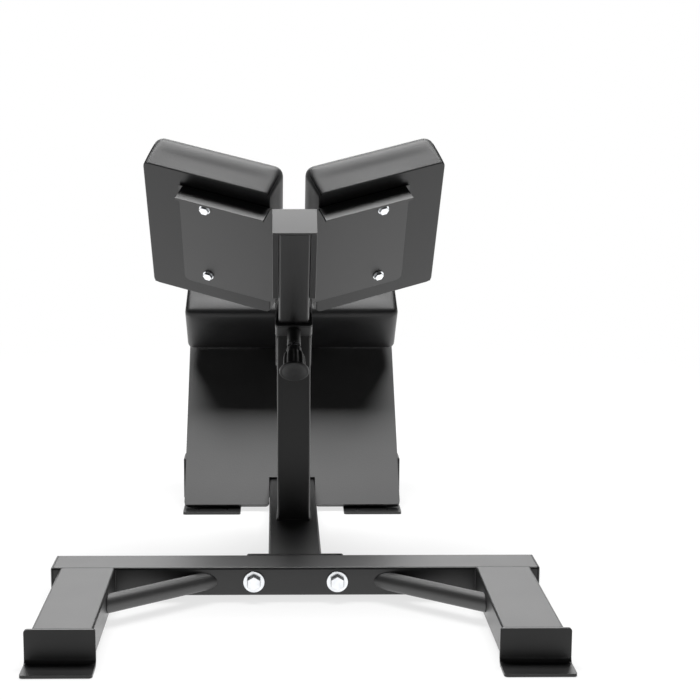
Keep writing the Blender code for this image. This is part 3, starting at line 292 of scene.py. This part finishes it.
def wholeMeshNodes():
    # Merges the split corners, drops the flat normals and marks only the real edges sharp
    group = bpy.data.node_groups.new("wholeMesh", "GeometryNodeTree")
    group.interface.new_socket("Geometry", in_out="INPUT", socket_type="NodeSocketGeometry")
    group.interface.new_socket("Geometry", in_out="OUTPUT", socket_type="NodeSocketGeometry")
    start = addNode(group, "NodeGroupInput").outputs["Geometry"]
    merged = addNode(group, "GeometryNodeMergeByDistance", {"Distance": edgeBreak["mergeWithin"]},
                     {"Geometry": start})
    bare = addNode(group, "GeometryNodeRemoveAttribute", {"Name": "custom_normal"},
                   {"Geometry": merged.outputs[0]})
    smooth = addNode(group, "GeometryNodeSetShadeSmooth", {"Shade Smooth": True},
                     {"Geometry": bare.outputs[0]})
    angle = addNode(group, "GeometryNodeInputMeshEdgeAngle").outputs[0]
    sharp = addNode(group, "FunctionNodeCompare", {
        "operation": "GREATER_THAN", 1: edgeBreak["smoothBelow"]}, {0: angle})
    marked = addNode(group, "GeometryNodeSetShadeSmooth", {"domain": "EDGE", "Shade Smooth": False},
                     {"Geometry": smooth.outputs[0], "Selection": sharp.outputs[0]})
    addNode(group, "NodeGroupOutput", links={"Geometry": marked.outputs[0]})
    return group


wholeMesh = wholeMeshNodes()
slots = {part["node"]: part["material_slot"] for part in frame["record"]["subparts"]}
remodelled = ["hip_cushion_left", "hip_cushion_right", "hip_board_left", "hip_board_right",
              "calf_cushion", "calf_board", "pull_knob"]
for name, node in nodes.items():
    node.data.materials.clear()
    node.data.materials.append(thickCoat if name.startswith("brace_") else finishes[slots[name]])
    if name in remodelled:
        continue
    node.modifiers.new("Whole", "NODES").node_group = wholeMesh
    bevel = node.modifiers.new("Edge", "BEVEL")
    bevel.width = edgeBreak["width"]
    bevel.segments = edgeBreak["segments"]
    bevel.limit_method = "ANGLE"
    bevel.angle_limit = edgeBreak["smoothBelow"]
    bevel.harden_normals = True
    bevel.use_clamp_overlap = True
    flat = node.modifiers.new("Flat", "WEIGHTED_NORMAL")
    flat.mode = "FACE_AREA"
    flat.weight = edgeBreak["faceWeight"]
    flat.keep_sharp = True
print("frame nodes dressed")


def link(piece, name, material, body):
    piece.name = name
    piece.data.name = name
    piece.data.materials.append(material)
    scene.collection.objects.link(piece)
    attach(piece, body)


# Pads: foam on a board under leathercloth, pulled tight over the back edge. In a pad's frame
# X runs across, Z runs up and Y runs from the flat back at 0 to the crowned front.
hipPad = {
    "width": 0.1928, "length": 0.256, "thickness": 0.0615, "edge": 0.015, "backCorner": 0.008,
    "flare": 0.003, "drawIn": 0.0006, "crown": 0.003, "cell": 0.0065, "swell": 0.002, "seam": 0.0012,
    "innerEdge": 0.0374, "belowMouth": 0.0499, "planeOffset": 0.0279, "dihedral": math.radians(19.85),
}
calfPad = {
    "width": 0.360, "length": 0.108, "thickness": 0.057, "edge": 0.010, "backCorner": 0.008,
    "flare": 0.003, "drawIn": 0.0006, "crown": 0.003, "cell": 0.0065, "swell": 0.002, "seam": 0.0012,
    "standoff": 0.025, "upFootPlate": 0.353,
}
edgeCuts = (0.12, 0.3, 0.52, 0.76, 1.0)      # shares of a rounded edge at which it is cut
onEdge = 1e-6                                # how near to a side counts as on it


def steps(half, edge, cell):
    # Cut places along one side: close together where the edges turn, then even
    near = [edge * share for share in edgeCuts]
    count = max(2, round(2 * (half - edge) / cell))
    inner = [edge - half + 2 * (half - edge) * k / count for k in range(1, count)]
    return [s - half for s in near] + inner + [half - s for s in reversed(near)]


def shapePad(point, pad):
    # Carries a point of the plain block to the pad: rounded plan corners and front edge, then
    # the flare towards the front, the groove of a corner seam, the drawn-in sides and the crown
    halfX, halfZ, depth = pad["width"] / 2, pad["length"] / 2, pad["thickness"]
    edge = pad["edge"]
    x, y, z = point
    share = min(max(y / (depth - edge), 0.0), 1.0)
    corner = pad["backCorner"] + (edge - pad["backCorner"]) * share ** 2
    inset = min(halfX - abs(x), halfZ - abs(z))
    fromFront = depth - y
    target, level = inset, y
    if y > depth - edge and inset < edge:
        turn = math.radians(45) * ((1 - fromFront / edge) + inset / edge)
        target = edge * (1 - math.cos(turn))
        level = depth - edge * (1 - math.sin(turn))
    if inset < corner:
        coreX, coreZ = halfX - corner, halfZ - corner
        nearX = min(max(x, -coreX), coreX)
        nearZ = min(max(z, -coreZ), coreZ)
        offX, offZ = x - nearX, z - nearZ
        scale = (corner - target) / math.hypot(offX, offZ)
        x, z = nearX + offX * scale, nearZ + offZ * scale
    alongX, alongZ = min(abs(x) / halfX, 1.0), min(abs(z) / halfZ, 1.0)
    x += math.copysign(pad["flare"] * share * alongX, x)
    z += math.copysign(pad["flare"] * share * alongZ, z)
    if abs(point[0]) > halfX - onEdge and abs(point[2]) > halfZ - onEdge:
        seam = pad["seam"] * (1 - share) ** 0.6
        x -= math.copysign(seam, x)
        z -= math.copysign(seam, z)
    bow = math.sin(math.pi * min(y / depth, 1.0))
    x *= 1 - pad["drawIn"] / halfX * bow * (1 - alongZ ** 2) * alongX
    z *= 1 - pad["drawIn"] / halfZ * bow * (1 - alongX ** 2) * alongZ
    level += pad["crown"] * share * (1 - alongX ** 4) * (1 - alongZ ** 4) * (y / depth) ** 8
    return Vector((x, level, z))


def padMesh(pad):
    # The pad's mesh, and for each corner its outward direction and the points up its seam
    work = bmesh.new()
    bmesh.ops.create_cube(work, size=1.0)
    for corner in work.verts:
        corner.co = Vector((corner.co.x * pad["width"], (corner.co.y + 0.5) * pad["thickness"],
                            corner.co.z * pad["length"]))
    across = steps(pad["width"] / 2, pad["edge"], pad["cell"])
    upward = steps(pad["length"] / 2, pad["edge"], pad["cell"])
    deep = [s + pad["thickness"] / 2 for s in steps(pad["thickness"] / 2, pad["edge"], pad["cell"])]
    cuts = ((Vector((1, 0, 0)), across), (Vector((0, 1, 0)), deep), (Vector((0, 0, 1)), upward))
    for axis, places in cuts:
        for place in places:
            geometry = list(work.verts) + list(work.edges) + list(work.faces)
            bmesh.ops.bisect_plane(work, geom=geometry, dist=onEdge, plane_co=axis * place, plane_no=axis)
    work.verts.index_update()
    halfX, halfZ = pad["width"] / 2 - onEdge, pad["length"] / 2 - onEdge
    runs = []
    for signX in (-1, 1):
        for signZ in (-1, 1):
            run = [v for v in work.verts if v.co.x * signX > halfX and v.co.z * signZ > halfZ]
            run = sorted((v for v in run if v.co.y < pad["thickness"] - pad["edge"]), key=lambda v: v.co.y)
            runs.append((Vector((signX, 0.0, signZ)).normalized(), [v.index for v in run]))
    for corner in work.verts:
        corner.co = shapePad(corner.co, pad)
    bmesh.ops.recalc_face_normals(work, faces=work.faces)
    mesh = bpy.data.meshes.new("pad")
    work.to_mesh(mesh)
    work.free()
    mesh.shade_smooth()
    return mesh, runs


# Thread that closes the folded corners of a cover, from the board to the front edge
seamThread = {"radius": 0.0013, "proud": 0.0007, "taper": 0.6}


def sewCorners(piece, runs, body):
    curve = bpy.data.curves.new(piece.name, "CURVE")
    curve.dimensions = "3D"
    curve.bevel_depth = seamThread["radius"]
    curve.bevel_resolution = 2
    curve.use_fill_caps = True
    for outward, run in runs:
        spline = curve.splines.new("POLY")
        spline.points.add(len(run) - 1)
        spline.use_smooth = True
        for step, (point, index) in enumerate(zip(spline.points, run)):
            point.co = (*(piece.data.vertices[index].co + outward * seamThread["proud"]), 1.0)
            point.radius = 1 - seamThread["taper"] * step / (len(run) - 1)
    seam = bpy.data.objects.new(piece.name.replace("pad", "seams"), curve)
    seam.matrix_world = piece.matrix_world
    link(seam, seam.name, thread, body)


# The cover as cloth: how it stretches, how hard the air in it pushes, and how firmly it is
# held at the folded rim on the board, on the sides and on the front, by share of the depth
coverCloth = {
    "quality": 5, "mass": 0.3, "stretch": 20, "shear": 10, "bend": 0.5, "pressure": 4, "lastFrame": 20,
    "pinStiffness": 0.6, "rimDepth": 0.1, "rimHold": 1.0, "sideDepth": 0.5, "sideHold": 0.55,
    "frontHold": 0.2, "onBoard": 0.001,
}


def swellPad(piece, pad):
    # The cover swells over its foam like a closed bag; the folded rim on the board holds it
    scene.collection.objects.link(piece)
    held = piece.vertex_groups.new(name="held")
    for corner in piece.data.vertices:
        depth = corner.co.y / pad["thickness"]
        hold = coverCloth["frontHold"]
        if depth < coverCloth["rimDepth"]:
            hold = coverCloth["rimHold"]
        elif depth < coverCloth["sideDepth"]:
            hold = coverCloth["sideHold"]
        held.add([corner.index], hold, "REPLACE")
    cloth = piece.modifiers.new("Cloth", "CLOTH")
    settings = cloth.settings
    settings.quality = coverCloth["quality"]
    settings.mass = coverCloth["mass"]
    settings.tension_stiffness = coverCloth["stretch"]
    settings.compression_stiffness = coverCloth["stretch"]
    settings.shear_stiffness = coverCloth["shear"]
    settings.bending_stiffness = coverCloth["bend"]
    settings.use_pressure = True
    settings.uniform_pressure_force = coverCloth["pressure"]
    settings.vertex_group_mass = "held"
    settings.pin_stiffness = coverCloth["pinStiffness"]
    settings.effector_weights.gravity = 0
    cloth.collision_settings.use_collision = False
    cloth.point_cache.frame_start = 1
    cloth.point_cache.frame_end = coverCloth["lastFrame"]
    for step in range(1, coverCloth["lastFrame"] + 1):
        scene.frame_set(step)
    graph = bpy.context.evaluated_depsgraph_get()
    swollen = [corner.co.copy() for corner in piece.evaluated_get(graph).data.vertices]
    piece.modifiers.remove(cloth)
    piece.vertex_groups.clear()
    furthest = 0.0
    for corner, moved in zip(piece.data.vertices, swollen):
        shift = moved - corner.co
        furthest = max(furthest, shift.length)
        if corner.co.y < coverCloth["onBoard"]:
            continue
        if shift.length > pad["swell"]:
            shift *= pad["swell"] / shift.length
        corner.co += shift
    scene.frame_set(1)
    scene.collection.objects.unlink(piece)
    print("swell:", piece.name, "furthest point moved", round(furthest * 1000, 1), "mm before the cap")


def makePad(name, pad, place, body, stoodFor):
    mesh, runs = padMesh(pad)
    piece = bpy.data.objects.new(name, mesh)
    swellPad(piece, pad)
    piece.matrix_world = place
    link(piece, name, vinyl, body)
    fine = piece.modifiers.new("Fine", "SUBSURF")
    fine.levels = 1
    fine.render_levels = 1
    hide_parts(*stoodFor)
    sewCorners(piece, runs, body)


for sign, label in ((-1, "left"), (1, "right")):
    padFrame = (slideFrame @ Matrix.Translation((0.0, hipPad["planeOffset"], -hipPad["belowMouth"]))
                @ Matrix.Rotation(sign * hipPad["dihedral"], 4, "Z"))
    outward = sign * (hipPad["innerEdge"] + hipPad["width"] / 2)
    centre = Matrix.Translation((outward, 0.0, hipPad["length"] / 2))
    makePad("hip_pad_" + label, hipPad, padFrame @ centre, "pad_carriage",
            ["hip_cushion_" + label, "hip_board_" + label])
calfPlace = Matrix.Translation((0.0, -calfPad["standoff"], calfPad["upFootPlate"]))
calfTurn = Matrix(((-1, 0, 0), (0, 0, -1), (0, -1, 0))).to_4x4()
calfCentre = Matrix.Translation((0.0, 0.0, calfPad["length"] / 2))
makePad("calf_pad", calfPad, footPlateFrame @ calfPlace @ calfTurn @ calfCentre, "frame",
        ["calf_cushion", "calf_board"])
print("pads done")


# Pull knob: a hub, a shoulder and a fluted grip that ends in a wider flat rim
knob = {"setback": 0.0117, "start": 0.0607, "length": 0.045, "neck": 0.0083, "grip": 0.0165, "rim": 0.02175,
        "rimThickness": 0.004, "lobes": 9, "lobeDepth": 0.0024, "lobePoints": 12, "fluteWidth": 1.5,
        "sharpAbove": math.radians(40)}


def knobProfile():
    # Radius, share of the flutes' depth, and distance from the neck, up to the flat face
    grip, rim, end = knob["grip"], knob["rim"], knob["length"]
    rimStart = end - knob["rimThickness"]
    hub = [(knob["neck"], 0.0, 0.0), (knob["neck"] + 0.0008, 0.0, 0.0006),
           (grip * 0.66, 0.0, 0.002), (grip * 0.70, 0.1, 0.0085)]
    shoulder = [(grip * 0.78, 0.4, 0.0108), (grip * 0.88, 0.8, 0.0126),
                (grip * 0.94, 1.0, 0.0160), (grip * 0.98, 1.0, 0.021)]
    handle = [(grip, 1.0, 0.027), (grip, 1.0, rimStart - 0.005), (grip + 0.0004, 0.8, rimStart - 0.003)]
    flange = [(rim - 0.0018, 0.2, rimStart - 0.0004), (rim - 0.0005, 0.0, rimStart + 0.0004),
              (rim, 0.0, rimStart + 0.0012), (rim, 0.0, end - 0.0012),
              (rim - 0.0005, 0.0, end - 0.0004), (rim - 0.0018, 0.0, end)]
    face = [(rim * 0.8, 0.0, end - 0.0003), (rim * 0.76, 0.0, end - 0.0009), (rim * 0.2, 0.0, end - 0.0009)]
    return hub + shoulder + handle + flange + face


def knobMesh():
    count = knob["lobes"] * knob["lobePoints"]
    work = bmesh.new()
    rings = []
    for radius, share, level in knobProfile():
        ring = []
        for index in range(count):
            angle = 2 * math.pi * index / count
            flute = (1 - math.cos(knob["lobes"] * angle)) / 2
            reach = radius - knob["lobeDepth"] * share * flute ** knob["fluteWidth"]
            ring.append(work.verts.new((reach * math.cos(angle), reach * math.sin(angle), level)))
        rings.append(ring)
    for low, high in zip(rings, rings[1:]):
        for index in range(count):
            following = (index + 1) % count
            work.faces.new((low[index], low[following], high[following], high[index]))
    work.faces.new(list(reversed(rings[0])))
    work.faces.new(rings[-1])
    mesh = bpy.data.meshes.new("knob")
    work.to_mesh(mesh)
    work.free()
    mesh.shade_smooth()
    mesh.set_sharp_from_angle(angle=knob["sharpAbove"])
    return mesh


pinPlace = Matrix.Translation((0.0, 0.0, -knob["setback"]))
pinTurn = Matrix.Rotation(math.radians(90), 4, "X")
grip = bpy.data.objects.new("knob_grip", knobMesh())
grip.matrix_world = slideFrame @ pinPlace @ pinTurn @ Matrix.Translation((0.0, 0.0, knob["start"]))
link(grip, "knob_grip", plastic, "pull_pin")
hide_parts("pull_knob")
print("knob done")


# Weld beads, coated with the frame: a run of small overlapping ripples in each corner
weld = {"radius": 0.0019, "ripple": 0.0024, "swing": 0.13, "point": 0.0006, "lastRadius": 0.5,
        "endGap": 0.003, "footInset": 0.006, "cornerRadius": 0.003, "cornerSteps": 4}


def weldBead(name, corners, closed=False):
    curve = bpy.data.curves.new(name, "CURVE")
    curve.dimensions = "3D"
    curve.bevel_depth = weld["radius"]
    curve.bevel_resolution = 2
    curve.use_fill_caps = True
    ends = corners + corners[:1] if closed else corners
    points = []
    travelled = 0.0
    for start, finish in zip(ends, ends[1:]):
        start, finish = Vector(start), Vector(finish)
        run = (finish - start).length
        count = max(1, round(run / weld["point"]))
        for index in range(count):
            along = travelled + run * index / count
            swell = weld["swing"] * math.sin(2 * math.pi * along / weld["ripple"])
            points.append((start.lerp(finish, index / count), 1 + swell))
        travelled += run
    if not closed:
        points.append((Vector(ends[-1]), weld["lastRadius"]))
    spline = curve.splines.new("POLY")
    spline.points.add(len(points) - 1)
    for point, (place, radius) in zip(spline.points, points):
        point.co = (*place, 1.0)
        point.radius = radius
    spline.use_cyclic_u = closed
    spline.use_smooth = True
    link(bpy.data.objects.new(name, curve), name, coat, "frame")


def rectangle(centre, alongU, alongV, halfU, halfV):
    # Corner points of a rounded rectangle in the plane of two unit directions
    corner, turnSteps = weld["cornerRadius"], weld["cornerSteps"]
    points = []
    for turn, (signU, signV) in enumerate(((1, 1), (-1, 1), (-1, -1), (1, -1))):
        for step in range(turnSteps + 1):
            angle = math.radians(90 * (turn + step / turnSteps))
            points.append(Vector(centre) + alongU * (signU * (halfU - corner) + corner * math.cos(angle))
                          + alongV * (signV * (halfV - corner) + corner * math.sin(angle)))
    return points


across, forward = Vector((1, 0, 0)), Vector((0, 1, 0))
weldLow, weldHigh = crossbarTop - crossbarHeight + weld["endGap"], crossbarTop - weld["endGap"]
for label in ("left", "right"):
    legLow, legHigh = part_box("front_leg_" + label)
    for side, x in (("inner", legHigh.x), ("outer", legLow.x)):
        ending = side + "_" + label
        weldBead("leg_weld_" + ending, [(x, crossbarFront, weldLow), (x, crossbarFront, weldHigh)])
        weldBead("foot_weld_" + ending, [(x, legLow.y, weldLow), (x, legLow.y, weldHigh)])
beamLow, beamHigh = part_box("main_beam")
for side, x in (("left", beamLow.x), ("right", beamHigh.x)):
    weldBead("flange_weld_" + side, [(x, beamLow.y, weldLow), (x, beamLow.y, weldHigh)])
    weldBead("beam_end_weld_" + side, [(x, beamHigh.y, weldLow), (x, beamHigh.y, crossbarTop)])
weldBead("beam_end_weld_top", [(beamLow.x, beamHigh.y, crossbarTop), (beamHigh.x, beamHigh.y, crossbarTop)])
postLow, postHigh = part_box("post")
postCentre = (postLow + postHigh) / 2
halfPost = postSize / 2
postFoot = rectangle((0.0, postCentre.y, crossbarTop), across, forward, halfPost, halfPost)
weldBead("post_weld", postFoot, closed=True)
saddleDrop = collarStep / math.cos(slideAngle) - halfPost * math.tan(slideAngle)
saddleCentre = Vector((0.0, postCentre.y, collarAtPost + saddleDrop))
saddle = rectangle(saddleCentre, across, upSlide, halfPost, halfPost / math.cos(slideAngle))
weldBead("sleeve_weld", saddle, closed=True)
collarEnd = slideFrame @ Vector((0.0, 0.0, collarStep * math.tan(slideAngle) + seatGap - sleeveOverhang))
weldBead("collar_weld", rectangle(collarEnd, across, offSlide, halfPost, halfPost), closed=True)
for label in ("left", "right"):
    footLow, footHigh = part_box("rear_foot_" + label)
    weldBead("rear_foot_weld_" + label, [(footLow.x + weld["footInset"], footHigh.y, footHigh.z),
                                         (footHigh.x - weld["footInset"], footHigh.y, footHigh.z)])
print("welds done")


# Stage: white floor and room, one large softbox overhead and one behind. The room is plain
# white to the camera; gloss on the bench sees it dark in front and overhead.
stage = {
    "floorColour": "#e6e6e6", "floorHalf": 30.0, "floorDrop": 0.0002,
    "nearGlow": 0.74, "nearRadius": 0.9, "farRadius": 2.2,
    # Painted reflection on the floor for gloss on the bench: a glow, dim in front and bright underneath
    "paintedReflectionFront": 0.25, "paintedReflectionUnder": 2.5, "paintedReflectionFrom": -0.85, "paintedReflectionTo": -0.25, "paintedReflectionShare": 0.5,
    "room": 1.0, "roomDiffuse": 0.30, "frontWall": 0.06, "frontWallTo": -0.4, "backWallFrom": 0.4,
    "ceiling": 0.05, "wallTop": 0.35, "ceilingFrom": 0.75,
}
white = (1.0, 1.0, 1.0, 1.0)
softboxes = {
    "overhead": {"size": (2.0, 0.84), "place": (0.0, 0.45, 2.4), "tilt": 0.0, "radiance": 17.0},
    "behind": {"size": (4.0, 1.6), "place": (0.0, 4.2, 2.6), "tilt": math.radians(65), "radiance": 4.3},
}


def studioPaper():
    # White paper that keeps its shadows near the bench and runs out to plain white. Gloss on the bench sees
    # half lit paper and half a painted reflection: a glow painted bright underneath and dimmer in front, as
    # under a softbox
    material = bpy.data.materials.new("studioPaper")
    material.use_nodes = True
    tree = material.node_tree
    tree.nodes.clear()
    rays = addNode(tree, "ShaderNodeLightPath")
    place = addNode(tree, "ShaderNodeTexCoord").outputs["Object"]
    away = addNode(tree, "ShaderNodeVectorMath", {"operation": "LENGTH"}, {0: place}).outputs["Value"]
    share = addNode(tree, "ShaderNodeMapRange", {
        "interpolation_type": "SMOOTHSTEP", "From Min": stage["nearRadius"], "From Max": stage["farRadius"],
        "To Min": stage["nearGlow"], "To Max": 1.0}, {"Value": away})
    paper = addNode(tree, "ShaderNodeBsdfDiffuse", {"Color": linear(stage["floorColour"])})
    glow = addNode(tree, "ShaderNodeEmission", {"Color": white, "Strength": stage["room"]})
    shown = addNode(tree, "ShaderNodeMixShader",
                    links={0: share.outputs["Result"], 1: paper.outputs[0], 2: glow.outputs[0]})
    # Painted reflection: for glossy rays the floor glows, painted bright under the bench and dim in front,
    # in place of softbox light on the paper
    depth = addNode(tree, "ShaderNodeSeparateXYZ", links={0: place}).outputs["Y"]
    paintedReflection = addNode(tree, "ShaderNodeMapRange", {
        "interpolation_type": "SMOOTHSTEP", "From Min": stage["paintedReflectionFrom"], "From Max": stage["paintedReflectionTo"],
        "To Min": stage["paintedReflectionFront"], "To Max": stage["paintedReflectionUnder"]}, {"Value": depth})
    mirrored = addNode(tree, "ShaderNodeEmission", {"Color": white}, {"Strength": paintedReflection.outputs["Result"]})
    gloss = addNode(tree, "ShaderNodeMath", {"operation": "MULTIPLY", 1: stage["paintedReflectionShare"]},
                    {0: rays.outputs["Is Glossy Ray"]})
    lit = addNode(tree, "ShaderNodeMixShader",
                  links={0: gloss.outputs[0], 1: paper.outputs[0], 2: mirrored.outputs[0]})
    choice = addNode(tree, "ShaderNodeMixShader",
                     links={0: rays.outputs["Is Camera Ray"], 1: lit.outputs[0], 2: shown.outputs[0]})
    addNode(tree, "ShaderNodeOutputMaterial", links={"Surface": choice.outputs[0]})
    return material


def studioRoom():
    room = bpy.data.worlds.new("room")
    room.use_nodes = True
    tree = room.node_tree
    tree.nodes.clear()
    rays = addNode(tree, "ShaderNodeLightPath")
    seen = addNode(tree, "ShaderNodeMath", {"operation": "MAXIMUM"},
                   {0: rays.outputs["Is Camera Ray"], 1: rays.outputs["Is Glossy Ray"]})
    clear = addNode(tree, "ShaderNodeMath", {"operation": "MAXIMUM"},
                    {0: seen.outputs[0], 1: rays.outputs["Is Transmission Ray"]})
    direction = addNode(tree, "ShaderNodeTexCoord").outputs["Generated"]
    toward = addNode(tree, "ShaderNodeSeparateXYZ", links={0: direction})
    wall = addNode(tree, "ShaderNodeMapRange", {
        "interpolation_type": "SMOOTHSTEP", "From Min": stage["frontWallTo"],
        "From Max": stage["backWallFrom"], "To Min": stage["frontWall"], "To Max": stage["room"]},
        {"Value": toward.outputs["Y"]})
    mirrored = addNode(tree, "ShaderNodeMapRange", {
        "interpolation_type": "SMOOTHSTEP", "From Min": stage["wallTop"], "From Max": stage["ceilingFrom"],
        "To Max": stage["ceiling"]}, {"Value": toward.outputs["Z"], "To Min": wall.outputs["Result"]})
    plain = addNode(tree, "ShaderNodeMapRange", {"To Min": stage["roomDiffuse"], "To Max": stage["room"]},
                    {"Value": clear.outputs[0]})
    strength = addNode(tree, "ShaderNodeMix", {"data_type": "FLOAT"}, {
        0: rays.outputs["Is Glossy Ray"], 2: plain.outputs["Result"], 3: mirrored.outputs["Result"]})
    background = addNode(tree, "ShaderNodeBackground", {"Color": white}, {"Strength": strength.outputs[0]})
    addNode(tree, "ShaderNodeOutputWorld", links={"Surface": background.outputs[0]})
    return room


floorMesh = bpy.data.meshes.new("floor")
work = bmesh.new()
bmesh.ops.create_grid(work, x_segments=2, y_segments=2, size=stage["floorHalf"])
work.to_mesh(floorMesh)
work.free()
floorMesh.materials.append(studioPaper())
floor = bpy.data.objects.new("floor", floorMesh)
floor.location.z = -stage["floorDrop"]
scene.collection.objects.link(floor)
scene.world = studioRoom()

for name, box in softboxes.items():
    lamp = bpy.data.lights.new(name, "AREA")
    lamp.shape = "RECTANGLE"
    lamp.size, lamp.size_y = box["size"]
    lamp.energy = box["radiance"] * math.pi * lamp.size * lamp.size_y
    softbox = bpy.data.objects.new(name, lamp)
    softbox.location = box["place"]
    softbox.rotation_euler.x = -box["tilt"]
    scene.collection.objects.link(softbox)

# Camera at the photograph's place: eye height 0.65 m, about 1.9 m in front of the crossbar.
# Places are in metres, down and turn in radians, the lens in millimetres on a 36 mm sensor.
view = {"across": -0.0244, "back": 1.939, "height": 0.654, "down": 0.1571, "turn": -0.00943,
        "lens": 75.754, "sensor": 36.0, "shift": 0.0841}
cameraData = bpy.data.cameras.new("camera")
cameraData.sensor_width = view["sensor"]
cameraData.lens = view["lens"]
cameraData.shift_x = view["shift"]
camera = bpy.data.objects.new("camera", cameraData)
camera.location = (view["across"], crossbarFront - view["back"], view["height"])
camera.rotation_euler = (math.radians(90) - view["down"], 0.0, view["turn"])
scene.collection.objects.link(camera)
scene.camera = camera
scene.view_settings.view_transform = "Standard"

print("stage and camera done")
